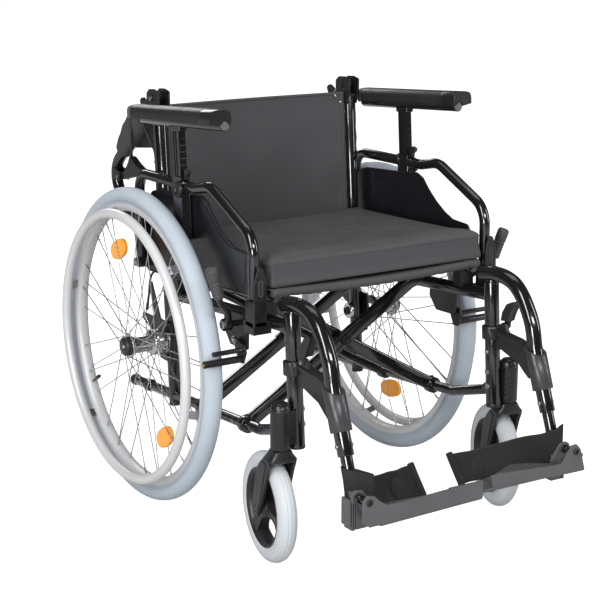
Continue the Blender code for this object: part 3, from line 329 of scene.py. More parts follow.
def turned(profile, place, steps=40):
    """A profile of (radius, height) turned about local Z."""
    profile = np.asarray(profile, float)
    angle = np.linspace(0, math.tau, steps + 1)
    radius, height = profile[:, :1], profile[:, 1:]
    points = np.stack([radius * np.cos(angle), radius * np.sin(angle), height + 0 * angle], -1)
    points, corners, totals, uv = lattice(points)
    return placed(points, place), corners, totals, uv


def slab(outline, low, high, place):
    """A flat outline in local X and Y, drawn out along local Z from low to high."""
    outline = np.asarray(outline, float)
    n = len(outline)
    points = np.concatenate([np.c_[outline, np.full(n, low)], np.c_[outline, np.full(n, high)]])
    k = np.arange(n)
    m = (k + 1) % n
    corners = np.concatenate([np.stack([k, m, m + n, k + n], 1).reshape(-1), k[::-1], k + n])
    totals = np.concatenate([np.full(n, 4), [n, n]])
    return placed(points, place), corners, totals, np.concatenate([outline, outline])[corners]


def block(low, high, place=None):
    """A box between two of its corners."""
    low, high = np.minimum(low, high), np.maximum(low, high)
    outline = [(low[0], low[1]), (high[0], low[1]), (high[0], high[1]), (low[0], high[1])]
    return slab(outline, low[2], high[2], np.eye(4) if place is None else place)


def bolt(side, x, y, z, radius=0.005, height=0.004):
    """A round cap screw with a socket, standing out from a face at x."""
    r, h = radius, height
    profile = [(0, 0.35 * h), (0.5 * r, 0.35 * h), (0.52 * r, h), (0.86 * r, h), (r, 0.8 * h),
        (r, -0.4 * h), (0, -0.4 * h)]
    return turned(profile, sideways(side, y, z, x), 18)


def nut(side, x, y, z, radius=0.006, height=0.004):
    """A hexagon nut over a washer."""
    hexagon = [(0, height), (0.8 * radius, height), (radius, 0.85 * height), (radius, 0), (0, 0)]
    washer = [(0, 0.0009), (1.35 * radius, 0.0009), (1.4 * radius, 0.0004), (1.4 * radius, -0.001),
        (0, -0.001)]
    place = sideways(side, y, z, x)
    return [turned(hexagon, place, 6), turned(washer, place, 24)]


# The finishes that stand for each slot of the record.
SLOT_FINISHES = {
    "caster_grey": "pale_caster_tyre",
    "dark_metal": "cable_jacket satin_black_metal sleeve_plastic",
    "fabric": "seat_cloth thread",
    "frame_paint": "gloss_powder_coat",
    "grip_rubber": "grip_rubber",
    "pad_foam": "lever_grip pad_cap pad_skin",
    "plastic": "footplate_plastic guard_plastic moulded_plastic rail_end reflector_lens",
    "silver_rim": "brushed_silver",
    "steel": "brass_screw bright_zinc dull_zinc spoke_steel",
    "tyre_grey": "grey_tyre",
    "webbing": "webbing",
}
SLOTS = {name: slot for slot, names in SLOT_FINISHES.items() for name in names.split()}


def make(name, patches, finish_name, body, *nodes, bevel=0.0, sharp=40, slot=None):
    """One closed mesh from its patches, which rides on a body and stands for the named CAD nodes. A slot,
    its own or else its finish's, is worked out but not given to the piece."""
    flat = []
    for patch in patches:
        flat.extend(patch if isinstance(patch, list) else [patch])
    counts = np.cumsum([0] + [len(p[0]) for p in flat])
    points = np.concatenate([p[0] for p in flat]) + (0, SHIFT_Y, 0)
    corners = np.concatenate([p[1] + start for p, start in zip(flat, counts)])
    totals = np.concatenate([p[2] for p in flat])
    mesh = bpy.data.meshes.new(name)
    mesh.vertices.add(len(points))
    mesh.vertices.foreach_set("co", points.astype(np.float32).ravel())
    mesh.loops.add(len(corners))
    mesh.loops.foreach_set("vertex_index", corners.astype(np.int32))
    mesh.polygons.add(len(totals))
    starts = np.concatenate([[0], np.cumsum(totals)[:-1]])
    mesh.polygons.foreach_set("loop_start", starts.astype(np.int32))
    mesh.polygons.foreach_set("loop_total", totals.astype(np.int32))
    layer = mesh.uv_layers.new(name="UVMap")
    layer.data.foreach_set("uv", np.concatenate([p[3] for p in flat]).astype(np.float32).ravel())
    mesh.update(calc_edges=True)
    shape = bmesh.new()
    shape.from_mesh(mesh)
    bmesh.ops.remove_doubles(shape, verts=shape.verts, dist=2e-6)
    bmesh.ops.recalc_face_normals(shape, faces=shape.faces)
    shape.to_mesh(mesh)
    shape.free()
    piece = bpy.data.objects.new(name, mesh)
    bpy.context.scene.collection.objects.link(piece)
    if bevel:
        edge = piece.modifiers.new("edge", "BEVEL")
        edge.width = bevel
        edge.segments = 2
        edge.limit_method = "ANGLE"
        edge.angle_limit = math.radians(42)
        edge.harden_normals = True
    mesh.shade_smooth()
    mesh.set_sharp_from_angle(angle=math.radians(sharp))
    mesh.materials.append(FINISHES[finish_name])
    if body:
        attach(piece, body)
    if nodes:
        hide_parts(*nodes)
    slot = slot or SLOTS[finish_name]
    return piece


def sided(tag, name, patches, finish_name, body, *nodes, **options):
    """A piece of one side, whose own name, body and nodes all begin with the side's tag."""
    names = [f"{tag}_{node}" for node in nodes]
    return make(f"{tag}_{name}", patches, finish_name, body and f"{tag}_{body}", *names, **options)


def mm(*points):
    """Points given in millimetres."""
    return np.array(points) / 1000


def thicken(piece, thickness, offset=0.0):
    """Gives an open sheet its cloth's thickness, about its middle unless an offset is given."""
    wall = piece.modifiers.new("wall", "SOLIDIFY")
    wall.thickness = thickness
    wall.offset = offset


class Wires:
    """Adds nodes to a tree. An input given as a socket is linked, and any other value is set."""

    def __init__(self, tree):
        self.tree = tree

    def fill(self, node, inputs):
        for name, value in inputs.items():
            if isinstance(value, bpy.types.NodeSocket):
                self.tree.links.new(value, node.inputs[name])
            else:
                node.inputs[name].default_value = value

    def add(self, kind, inputs=None, **settings):
        node = self.tree.nodes.new("ShaderNode" + kind)
        for name, value in settings.items():
            setattr(node, name, value)
        self.fill(node, inputs or {})
        return node.outputs

    def calc(self, operation, first, second=0.0):
        return self.add("Math", {0: first, 1: second}, operation=operation)[0]

    def spot(self, kind="Object"):
        return self.add("TexCoord")[kind]

    def split(self, vector):
        return self.add("SeparateXYZ", {0: vector})

    def noise(self, vector, scale, detail):
        return self.add("TexNoise", {"Vector": vector, "Scale": scale, "Detail": detail})["Fac"]

    def ramp(self, value, limits):
        return self.add("MapRange", {"Value": value, **limits})["Result"]

    def bump(self, depth, distance, height):
        return self.add("Bump", {"Strength": depth, "Distance": distance, "Height": height})["Normal"]

    def mix(self, share, first, second, blend="MIX"):
        return self.add("MixRGB", {"Fac": share, "Color1": first, "Color2": second}, blend_type=blend)[0]

    def effect(self, name, **values):
        return self.add("Group", values, node_tree=EFFECTS[name])


def grain_form(wires, given):
    """Fine raised grain: a noise field read as height."""
    noise = wires.noise(wires.spot(), given["Scale"], 3.0)
    return {"Normal": wires.bump(given["Depth"], 0.0006, noise), "Mask": noise}


def wear_form(wires, given):
    """Handling marks: stretched noise past a threshold gives faint scuffs, and slow noise the clouds."""
    spot = wires.spot()
    stretch = wires.add("Mapping", {"Vector": spot, "Scale": (1.0, 0.35, 1.6)})[0]
    fine = wires.noise(stretch, wires.calc("MULTIPLY", given["Scale"], 9.0), 6.0)
    scuff = wires.ramp(fine, {"From Min": 0.6, "From Max": 0.74, "To Max": given["Amount"]})
    return {"Scuff": scuff, "Cloud": wires.noise(spot, given["Scale"], 4.0)}


def dust_form(wires, given):
    """Dust that settles on faces turned upwards, broken up by noise."""
    up = wires.split(wires.add("NewGeometry")["Normal"])["Z"]
    flat = wires.ramp(up, {"From Min": 0.2, "From Max": 1.0})
    patchy = wires.calc("MULTIPLY", flat, wires.noise(wires.spot(), 35.0, 5.0))
    return {"Mask": wires.calc("MULTIPLY", patchy, given["Amount"])}


def weave_form(wires, given):
    """Plain weave on the UV map, whose unit is a metre: warp and weft threads take turns on top. Its Shade
    output is painted shade, darkest where the threads are lowest.
    """
    uv = wires.split(wires.spot("UV"))
    turns = wires.calc("MULTIPLY", given["Threads"], math.pi)
    warp, weft = (wires.calc("SINE", wires.calc("MULTIPLY", uv[axis], turns)) for axis in "XY")
    over = wires.calc("GREATER_THAN", wires.calc("MULTIPLY", warp, weft), 0.0)
    high = wires.calc("MULTIPLY", wires.calc("ABSOLUTE", warp), over)
    low = wires.calc("MULTIPLY", wires.calc("ABSOLUTE", weft), wires.calc("SUBTRACT", 1.0, over))
    height = wires.calc("ADD", high, low)
    return {"Normal": wires.bump(given["Depth"], 0.0004, height), "Shade": height}


def tread_form(wires, given):
    """Fine tread on the UV map: two crossing sets of shallow grooves over the crown of a tyre. Its Shade
    output is painted shade, darkest in the grooves.
    """
    uv = wires.split(wires.spot("UV"))
    turns = wires.calc("MULTIPLY", given["Pitch"], math.pi)
    across = wires.calc("MULTIPLY", wires.calc("MULTIPLY", uv["X"], turns), 1.4)
    around = wires.calc("MULTIPLY", uv["Y"], turns)
    grooves = [wires.calc("ABSOLUTE", wires.calc("SINE", wires.calc(way, across, around)))
        for way in ("ADD", "SUBTRACT")]
    height = wires.ramp(wires.calc("MINIMUM", *grooves), {"From Max": 0.28})
    return {"Normal": wires.bump(given["Depth"], 0.0008, height), "Shade": height}


EFFECT_FORMS = {
    "grain": ("surface_grain", {"Scale": 900.0, "Depth": 0.1}, grain_form),
    "wear": ("handling_wear", {"Scale": 18.0, "Amount": 0.5}, wear_form),
    "dust": ("settled_dust", {"Amount": 0.1}, dust_form),
    "weave": ("plain_weave", {"Threads": 900.0, "Depth": 0.4}, weave_form),
    "tread": ("diamond_tread", {"Pitch": 150.0, "Depth": 0.5}, tread_form),
}
EFFECTS = {}
FINISHES = {}


def build_effect(name, inputs, form):
    """A shader node group with the given inputs, whose outputs are what the form returns."""
    group = bpy.data.node_groups.new(name, "ShaderNodeTree")
    for label, value in inputs.items():
        socket = group.interface.new_socket(label, in_out="INPUT", socket_type="NodeSocketFloat")
        socket.default_value = value
    given, out = group.nodes.new("NodeGroupInput"), group.nodes.new("NodeGroupOutput")
    for label, socket in form(Wires(group), given.outputs).items():
        kind = "NodeSocketVector" if label == "Normal" else "NodeSocketFloat"
        group.interface.new_socket(label, in_out="OUTPUT", socket_type=kind)
        group.links.new(socket, out.inputs[label])
    return group


def finish(name, colour, rough, metallic=0.0, coat=0.0, grain=None, weave=None, tread=None, wear=0.35,
        dust=0.06, cloud=0.25):
    """A surface: its colour is clouded, scuffed and dusted, and its relief is grain, weave or tread. A
    weave or tread also darkens the colour with painted shade in its low threads or grooves.
    """
    if name in FINISHES:
        return
    material = bpy.data.materials.new(name)
    material.use_nodes = True
    wires = Wires(material.node_tree)
    marks = wires.effect("wear", Amount=wear)
    pale = tuple(min(1.0, c * (1 + cloud) + 0.004 * cloud) for c in colour) + (1.0,)
    deep = tuple(c * (1 - cloud) for c in colour) + (1.0,)
    tone = wires.mix(marks["Cloud"], deep, pale)
    relief = None
    if weave:
        relief = wires.effect("weave", Threads=weave[0], Depth=weave[1])
    if tread:
        relief = wires.effect("tread", Pitch=tread[0], Depth=tread[1])
    # Painted shade: the colour is darkened where the weave or tread is low, down to 0.62 or 0.8 of it.
    if relief:
        painted_shade = wires.ramp(relief["Shade"], {"To Min": 0.62 if weave else 0.8, "To Max": 1.0})
        tone = wires.mix(1.0, tone, painted_shade, "MULTIPLY")
    if grain:
        relief = wires.effect("grain", Scale=grain[0], Depth=grain[1])
    dusty = wires.mix(wires.effect("dust", Amount=dust)["Mask"], tone, (0.42, 0.41, 0.39, 1.0))
    limits = {"From Min": 0.3, "From Max": 0.7, "To Min": rough * 0.85, "To Max": rough * 1.12}
    base = wires.ramp(marks["Cloud"], limits)
    total = wires.calc("ADD", base, wires.calc("MULTIPLY", marks["Scuff"], 0.25))
    surface = {"Base Color": dusty, "Roughness": total, "Metallic": metallic, "Coat Weight": coat,
        "Coat Roughness": 0.06}
    if relief:
        surface["Normal"] = relief["Normal"]
    wires.fill(material.node_tree.nodes["Principled BSDF"], surface)
    FINISHES[name] = material


def tint(name, description, default):
    return bpy.props.FloatVectorProperty(name=name, description=description, subtype="COLOR",
        default=default, min=0, max=1)


def length(name, description, default, low, high):
    return bpy.props.FloatProperty(name=name, description=description, default=default, unit="LENGTH",
        min=low, max=high)


class WheelchairColours(bpy.types.PropertyGroup):
    """Colours that an owner would choose."""

    frame: tint("Frame", "Powder coat of the tubes", (0.0045, 0.0045, 0.005))
    tyre: tint("Tyres", "Rear tyres", (0.4, 0.45, 0.51))
    caster: tint("Caster tyres", "Front tyres", (0.456, 0.479, 0.502))
    cloth: tint("Cloth", "Seat and back", (0.052, 0.05, 0.054))
    reflector: tint("Reflectors", "Spoke reflectors", (1.0, 0.36, 0.02))


class WheelchairSizes(bpy.types.PropertyGroup):
    """Sizes of the details that the frame leaves open."""

    spokes: bpy.props.IntProperty(name="Spokes", description="Spokes in each rear wheel", default=36,
        min=16, max=48)
    spoke_radius: length("Spoke radius", "Half the wire's thickness", 0.00105, 0.0005, 0.002)
    cushion_puff: length("Cushion puff", "Furthest a point of the cover may swell", 0.005, 0, 0.02)
    stitch: length("Stitch", "Length of one stitch", 0.0042, 0.002, 0.01)


class WheelchairFinishes(bpy.types.Operator):
    """Makes the effects that the materials share, and every material"""

    bl_idname = "wheelchair.finishes"
    bl_label = "Finishes"

    def execute(self, context):
        colours = context.scene.wheelchair_colours
        for name, form in EFFECT_FORMS.items():
            EFFECTS[name] = build_effect(*form)
        finish("gloss_powder_coat", tuple(colours.frame), 0.15, coat=0.8, grain=(420, 0.012), wear=0.08,
            dust=0.008)
        finish("satin_black_metal", (0.0074, 0.0074, 0.0082), 0.3, grain=(700, 0.06), wear=0.2, dust=0.02)
        finish("bright_zinc", (0.66, 0.67, 0.68), 0.22, 1.0, grain=(600, 0.05), wear=0.3, cloud=0.12)
        finish("spoke_steel", (0.5, 0.51, 0.52), 0.28, 1.0, grain=(600, 0.05), wear=0.3, cloud=0.12)
        finish("dull_zinc", (0.4, 0.41, 0.42), 0.36, 1.0, grain=(500, 0.12), wear=0.5, cloud=0.2)
        finish("brushed_silver", (0.56, 0.56, 0.57), 0.36, 0.15, grain=(900, 0.05), wear=0.2, dust=0.02,
            cloud=0.04)
        finish("brass_screw", (0.62, 0.42, 0.18), 0.3, 1.0, grain=(600, 0.1), cloud=0.15)
        finish("grey_tyre", tuple(colours.tyre), 0.62, tread=(115, 0.55), wear=0.3, dust=0.05, cloud=0.05)
        finish("pale_caster_tyre", tuple(colours.caster), 0.58, grain=(900, 0.05), wear=0.3, dust=0.05,
            cloud=0.04)
        finish("pad_skin", (0.0161, 0.0161, 0.017), 0.42, grain=(750, 0.22), wear=0.1, dust=0.03)
        finish("pad_cap", (0.012, 0.012, 0.013), 0.24, coat=0.3, grain=(300, 0.03), wear=0.1, dust=0.01)
        finish("rail_end", (0.075, 0.075, 0.078), 0.45, grain=(900, 0.1), wear=0.1, dust=0.02)
        finish("seat_cloth", tuple(colours.cloth), 0.8, weave=(1300, 0.35), wear=0.05, dust=0.05, cloud=0.1)
        finish("webbing", (0.0084, 0.0084, 0.0098), 0.85, weave=(700, 0.6), wear=0.1, dust=0.05)
        finish("thread", (0.1, 0.1, 0.105), 0.7, grain=(2500, 0.3), wear=0.0)
        finish("grip_rubber", (0.018, 0.016, 0.015), 0.55, grain=(1200, 0.25), wear=0.1, dust=0.04)
        finish("lever_grip", (0.045, 0.045, 0.047), 0.48, grain=(900, 0.2), wear=0.1, dust=0.04)
        finish("moulded_plastic", (0.0115, 0.0115, 0.0131), 0.36, grain=(1100, 0.12), wear=0.15, dust=0.03)
        finish("sleeve_plastic", (0.032, 0.032, 0.035), 0.32, grain=(1100, 0.1), wear=0.15, dust=0.03)
        finish("guard_plastic", (0.0062, 0.0062, 0.0078), 0.26, grain=(800, 0.05), wear=0.08, dust=0.01)
        finish("footplate_plastic", (0.07, 0.071, 0.074), 0.4, grain=(1000, 0.25), wear=0.2, dust=0.05)
        finish("cable_jacket", (0.012, 0.012, 0.012), 0.4, grain=(500, 0.05), wear=0.1)
        finish("reflector_lens", tuple(colours.reflector), 0.18, coat=0.3, grain=(260, 0.15), wear=0.0,
            dust=0.0, cloud=0.1)
        return {"FINISHED"}


def build_tyre(tag, body, at_rim):
    """The section is an ellipse about the rim bed, with three shallow ribs cut round its crown."""
    angle = np.linspace(-2.35, 2.35, 61)
    rib = sum(deep * np.exp(-((np.abs(angle) - at) / 0.05) ** 2)
        for deep, at in ((0.0008, 0.95), (0.0005, 1.7)))
    radius = 0.2895 + (0.0155 - rib) * np.cos(angle)
    height = (0.018 - rib) * np.sin(angle)
    profile = np.stack([radius, height], 1)
    profile = np.concatenate([[[RIM_RADIUS + 0.0006, height[0]]], profile,
        [[RIM_RADIUS + 0.0006, height[-1]]]])
    profile = np.concatenate([profile, profile[:1]])
    sided(tag, "tyre", [turned(profile, at_rim, 240)], "grey_tyre", body, "rear_tyre", sharp=60)


def build_spokes(tag, body, place, count, radius):
    """Each flange carries half the spokes. They lean forward and back in turn, and cross before the rim."""
    k = np.arange(count // 2)
    lead = np.where(k % 2, 1.0, -1.0)
    starts, ends = [], []
    for flange, first in ((0.3095, 0.0), (0.2608, 0.5)):
        start = (k + first) * math.tau / (count // 2)
        end = start + lead * math.radians(64)
        reach = WHEEL_X + (flange - WHEEL_X) * 0.12
        at_hub = np.stack([0.0218 * np.cos(start), 0.0218 * np.sin(start), flange + lead * 0.0016], 1)
        at_rim = np.stack([0.2596 * np.cos(end), 0.2596 * np.sin(end), np.full(len(k), reach)], 1)
        starts.append(at_hub)
        ends.append(at_rim)
    starts, ends = placed(np.concatenate(starts), place), placed(np.concatenate(ends), place)
    back = unit(starts - ends)
    away = np.where(np.tile(lead, 2)[:, None] > 0, -0.0035, 0.0035) * np.sign(starts[0, 0])
    elbow = starts + np.array([1.0, 0, 0]) * away
    patches = [
        rods(starts, ends, radius, 8),
        rods(starts, elbow, radius * 1.15, 8),
        rods(ends + back * 0.013, ends, 0.0017, 8),
    ]
    sided(tag, "spokes", patches, "spoke_steel", body, "rear_wheel", sharp=70)


def build_handrim(tag, body, place):
    """A ring of round tube on six bent tabs, each held to it by a screw."""
    angle = np.linspace(0, math.tau, 200, endpoint=False)
    ring = np.stack([HANDRIM_RADIUS * np.cos(angle), HANDRIM_RADIUS * np.sin(angle),
        np.full(200, HANDRIM_X)], 1)
    pieces = [sweep(placed(ring, place), HANDRIM_TUBE, 28, (1, 0, 0), loop=True)]
    sided(tag, "hand_ring", pieces, "brushed_silver", body, "handrim")
    tabs = []
    for k in range(6):
        a = math.tau * (k + 0.25) / 6
        spin = np.array(Matrix.Rotation(a, 4, "Z"))
        line = [(0.268, 0, WHEEL_X + 0.009), (0.266, 0, WHEEL_X + 0.019), (0.264, 0, HANDRIM_X - 0.013),
            (0.26, 0, HANDRIM_X - 0.007)]
        path = placed(rounded(line, 0.004, 4), place @ spin)
        flat = mm((-1.1, -8.5), (1.1, -8.5), (1.1, 8.5), (-1.1, 8.5))
        outward = (place @ spin)[:3, 0]
        tabs.append(sweep(path, 1.0, over=outward, rim=0, section=flat))
        low = placed(np.array([(0.26, 0, HANDRIM_X - 0.011)]), place @ spin)[0]
        high = placed(np.array([(0.26, 0, HANDRIM_X - 0.006)]), place @ spin)[0]
        tabs.append(bar(low, high, 0.0042, 14))
    sided(tag, "handrim_tabs", tabs, "dull_zinc", body, slot="silver_rim", bevel=0.0004)


def build_wheel_extras(side, tag, body):
    """Oval reflectors clipped between the spokes, and the valve."""
    spots = [(0.0787, 0.478), (-0.1005, 0.1446)] if side < 0 else [(-0.0356, 0.1289), (0.06, 0.479)]
    t = np.linspace(0, math.tau, 41)[:-1]
    outline = np.stack([0.0345 * np.sign(np.cos(t)) * np.abs(np.cos(t)) ** 0.85,
        0.0185 * np.sign(np.sin(t)) * np.abs(np.sin(t)) ** 0.85], 1)
    lenses = []
    for y, z in spots:
        turn = math.atan2(z - AXLE_Z, y) + math.pi / 2
        spin = Matrix.Rotation(turn, 4, "Z")
        place = facing(side) @ np.array(Matrix.Translation((y, z, WHEEL_X + 0.001)) @ spin)
        lenses.append(slab(outline, -0.003, 0.003, place))
        lenses.append(slab(outline * 0.86, 0.003, 0.0038, place))
        lenses.append(slab(outline * 0.86, -0.0038, -0.003, place))
        lenses.extend(block((x - 0.001, -0.015, -0.0042), (x + 0.001, 0.015, 0.0042), place)
            for x in (-0.012, 0, 0.012))
    sided(tag, "reflectors", lenses, "reflector_lens", body, bevel=0.0007)
    angle = math.atan2(0.174 - AXLE_Z, 0.219)
    out = np.array([0, math.cos(angle), math.sin(angle)])
    hub = np.array([side * WHEEL_X, 0, AXLE_Z])
    valve = [
        bar(hub + out * 0.261, hub + out * 0.233, 0.0026, 14),
        bar(hub + out * 0.239, hub + out * 0.223, 0.0038, 16),
    ]
    sided(tag, "valve", valve, "moulded_plastic", body)


class WheelchairRearWheels(bpy.types.Operator):
    """Tyres, rims, crossed spokes, hubs, handrims and reflectors"""

    bl_idname = "wheelchair.rear_wheels"
    bl_label = "Rear wheels"

    def execute(self, context):
        sizes = context.scene.wheelchair_sizes
        for side, tag in SIDES:
            body = "wheel"
            place, at_rim = sideways(side, 0, AXLE_Z), sideways(side, 0, AXLE_Z, WHEEL_X)
            build_tyre(tag, body, at_rim)
            rim = [(RIM_RADIUS, -0.01), (RIM_RADIUS + 0.0012, -0.0118), (RIM_RADIUS + 0.0012, -0.0126),
                (0.2665, -0.0127), (0.2625, -0.0112), (0.26, -0.007), (0.2592, -0.002), (0.2592, 0.002),
                (0.26, 0.007), (0.2625, 0.0112), (0.2665, 0.0127), (RIM_RADIUS + 0.0012, 0.0126),
                (RIM_RADIUS + 0.0012, 0.0118), (RIM_RADIUS, 0.01), (RIM_RADIUS - 0.003, 0.006),
                (RIM_RADIUS - 0.003, -0.006), (RIM_RADIUS, -0.01)]
            sided(tag, "rim", [turned(rim, at_rim, 160)], "brushed_silver", body, sharp=50)
            build_spokes(tag, body, place, sizes.spokes, sizes.spoke_radius)
            barrel = mm((0, 306), (15, 306), (17.5, 304.5), (16.5, 299), (16, 280), (16.5, 266),
                (24.5, 263), (25.2, 261.8), (25.2, 259), (21, 257), (23.5, 254), (24, 238), (22.5, 236.2),
                (6.2, 236.2), (6.2, 270), (0, 270))
            outer = mm((12, 306), (23.5, 307.8), (24.2, 308.6), (24.2, 310.2), (23.5, 311), (12, 311.5),
                (12, 306))
            sided(tag, "hub", [turned(barrel, place, 40), turned(outer, place, 40)], "bright_zinc", body)
            cap = mm((0, 320.5), (4.8, 320.5), (5.5, 322.5), (15.6, 322.5), (17.5, 321.2), (18.7, 317),
                (18.7, 310.8), (0, 310.8))
            sided(tag, "hub_cap", [turned(cap, place, 32)], "moulded_plastic", body)
            button = mm((0, 322.2), (3.8, 322), (4.4, 321.2), (4.4, 319.5), (0, 319.5))
            sided(tag, "axle_button", [turned(button, place, 24)], "bright_zinc", body)
            build_handrim(tag, body, place)
            build_wheel_extras(side, tag, body)
        return {"FINISHED"}


def build_stem_housing(side, tag, stem):
    """The upright housing of the caster stem, and the stepped block that joins it to the front tube."""
    profile = mm((0, 308.5), (7, 308), (12, 306.2), (16, 302.5), (18, 297), (18, 296), (17.2, 295.5),
        (17.2, 294.5), (18, 294), (18, 227), (16.5, 223.2), (6.2, 223.2), (6.2, 290), (0, 290))
    corners = (side * 0.2285, -0.478, 0.233), (side * 0.2505, -0.45, 0.292)
    steps = [block((side * 0.231, -0.4795, z), (side * 0.247, -0.4485, z + 0.004))
        for z in (0.24, 0.25, 0.26, 0.27)]
    sided(tag, "stem_housing", [turned(profile, np.array(Matrix.Translation(stem)), 40), block(*corners),
        *steps], "satin_black_metal", "frame", "caster_housing", bevel=0.0015)


def build_caster_fork(tag, place):
    """The crown is a frustum that spreads to two blades, which narrow towards the axle."""
    blade = ringed(mm((-13, 204), (-1, 183), (22.5, 126), (43, 89), (52, 83.5), (62, 85), (68, 95),
        (66, 115), (57, 156), (51, 173), (34, 192), (18, 205)), 0.0045, 4)
    centre = blade.mean(0)
    pieces = []
    for end in (-1, 1):
        pieces.append(slab(blade, 0.0206, 0.0262, place @ facing(end)))
        pieces.append(slab(centre + (blade - centre) * (0.72, 0.9), 0.0256, 0.0278, place @ facing(end)))
    levels = ((0.201, 0.0262, -0.015, 0.024), (0.2035, 0.0274, -0.018, 0.024),
        (0.2065, 0.0268, -0.0185, 0.0225), (0.213, 0.0215, -0.018, 0.0195), (0.219, 0.018, -0.0172, 0.018),
        (0.2222, 0.017, -0.0165, 0.017))
    t = np.linspace(0, math.tau, 33)[:-1]
    round_x = np.sign(np.cos(t)) * np.abs(np.cos(t)) ** 0.45
    round_y = np.sign(np.sin(t)) * np.abs(np.sin(t)) ** 0.45
    rings = np.array([np.stack([x * round_x, (low + high) / 2 + (high - low) / 2 * round_y, z + 0 * t], 1)
        for z, x, low, high in levels])
    points, corners, totals, uv = loft(rings)
    pieces.append((placed(points, place), corners, totals, uv))
    sided(tag, "fork", pieces, "moulded_plastic", "caster_fork", "caster_fork", slot="dark_metal",
        bevel=0.0016)
    axle = [
        bar(placed(np.array([(-0.0285, CASTER_TRAIL, CASTER_AXLE_Z)]), place)[0],
            placed(np.array([(0.0285, CASTER_TRAIL, CASTER_AXLE_Z)]), place)[0], 0.0042, 18),
    ]
    holes = []
    for end in (-1, 1):
        at = place @ sideways(end, CASTER_TRAIL, CASTER_AXLE_Z, 0.0252)
        axle.append(turned(mm((0, 1.5), (4, 1.5), (4.5, 3.4), (6.8, 3.4), (7.8, 2.2), (7.8, 0), (0, 0)), at,
            28))
        for y, z in ((0.0435, 0.121), (0.035, 0.142)):
            holes.append(turned(mm((0, 1), (2.2, 1), (2.6, 2.1), (4.1, 2.1), (4.4, 1.7), (4.4, 0), (0, 0)),
                place @ sideways(end, y, z, 0.0252), 20))
    sided(tag, "caster_axle", axle, "satin_black_metal", "caster_fork")
    sided(tag, "axle_eyes", holes, "satin_black_metal", "caster_fork")


def build_caster_wheel(tag, place):
    """A tyre with four ribs on a moulded ring, which three waisted spokes hold to its hub."""
    body = "caster_roll"
    about = place @ sideways(1, CASTER_TRAIL, CASTER_AXLE_Z)
    angle = np.linspace(-2.2, 2.2, 97)
    rib = sum(0.001 * np.exp(-((angle - spot) / 0.045) ** 2) for spot in (-0.66, -0.24, 0.24, 0.66))
    radius = 0.0815 + (0.0185 - rib) * np.cos(angle)
    height = 0.0175 * np.sin(angle)
    profile = np.concatenate([[[0.0712, height[0]]], np.stack([radius, height], 1), [[0.0712, height[-1]]]])
    profile = np.concatenate([profile, profile[:1]])
    sided(tag, "caster_tread", [turned(profile, about, 120)], "pale_caster_tyre", body, "caster_tyre",
        sharp=60)
    ring = mm((71.4, -13.5), (72.6, -15.5), (70, -16), (65.5, -12.5), (62.5, -5), (62.5, 5), (65.5, 12.5),
        (70, 16), (72.6, 15.5), (71.4, 13.5), (71.4, -13.5))
    hub = mm((0, 19.6), (10.5, 19.6), (12, 18.2), (19, 12), (19.5, 0), (19, -12), (12, -18.2),
        (10.5, -19.6), (0, -19.6))
    pieces = [turned(ring, about, 72), turned(hub, about, 36)]
    for k in range(3):
        spin = about @ np.array(Matrix.Rotation(math.radians(120 * k + 40), 4, "Z"))
        t = np.linspace(0, 1, 12)[:, None]
        wide = 0.0105 - 0.0035 * np.sin(math.pi * t) + 0.004 * t**3
        deep = 0.0125 - 0.003 * np.sin(math.pi * t)
        out = 0.01 + 0.054 * t
        corner = np.array([(-1, -1), (1, -1), (1, 1), (-1, 1), (-1, -1)], float)
        web = np.stack([out + 0 * corner[None, :, 0], wide * corner[:, 0], deep * corner[:, 1]], -1)
        web = np.concatenate([web[:1] * (1, 0, 0), web, web[-1:] * (1, 0, 0)])
        points, corners, totals, uv = lattice(web)
        pieces.append((placed(points, spin), corners, totals, uv))
    sided(tag, "caster_centre", pieces, "moulded_plastic", body, "caster_wheel", bevel=0.0012)


class WheelchairCasters(bpy.types.Operator):
    """Front casters: stem housing, fork, moulded wheel and tyre"""

    bl_idname = "wheelchair.casters"
    bl_label = "Casters"

    def execute(self, context):
        for side, tag in SIDES:
            stem = (side * STEM_X, STEM_Y, 0)
            place = np.array(Matrix.Translation(stem) @ Matrix.Rotation(math.radians(SWIVEL[side]), 4, "Z"))
            build_stem_housing(side, tag, stem)
            build_caster_fork(tag, place)
            build_caster_wheel(tag, place)
        return {"FINISHED"}


def build_tubes(side, tag):
    """Cane, lower rail, seat rail and front tube, with their sockets and end plugs."""
    x = side * FRAME_X
    lower = [(x, *side_point(-0.172, 0)), (x, *side_point(0.329, 0)), (x, *side_point(FRONT_U, 0.028))]
    pieces = [
        bar(on_frame(side, 0, -0.016), on_frame(side, 0, CANE_TOP), CANE_RADIUS, 28),
        sweep(rounded(lower, 0.06), LOWER_RADIUS, 24),
        bar(on_frame(side, -0.118, 0), on_frame(side, -0.1, 0), 0.0125, 28, 0.002),
        bar(on_frame(side, 0, UPPER_V), on_frame(side, FRONT_U, UPPER_V), UPPER_RADIUS, 28),
        bar(on_frame(side, FRONT_U, -0.004), on_frame(side, FRONT_U, 0.147), FRONT_RADIUS, 32),
        bar(on_frame(side, FRONT_U, 0.14), on_frame(side, FRONT_U, 0.2305), FRONT_RADIUS, 32),
    ]
    for u, v in ((FRONT_U, 0.028), (0.0, 0.0)):
        near = u - 0.0128 * (u > 0) + 0.010
        pieces.append(bar(on_frame(side, near, v), on_frame(side, u - 0.021, v), 0.0108, 24, 0.003))
    sided(tag, "frame_tubes", pieces, "gloss_powder_coat", "frame", "side_frame")
    plugs = [
        bar(on_frame(side, -0.179, 0), on_frame(side, -0.166, 0), 0.0118, 24, 0.003),
        bar(on_frame(side, FRONT_U, -0.0065), on_frame(side, FRONT_U, 0.001), 0.0143, 28, 0.002),
        bar(on_frame(side, 0, -0.0195), on_frame(side, 0, -0.012), 0.0123, 24, 0.002),
    ]
    sided(tag, "tube_plugs", plugs, "moulded_plastic", "frame")


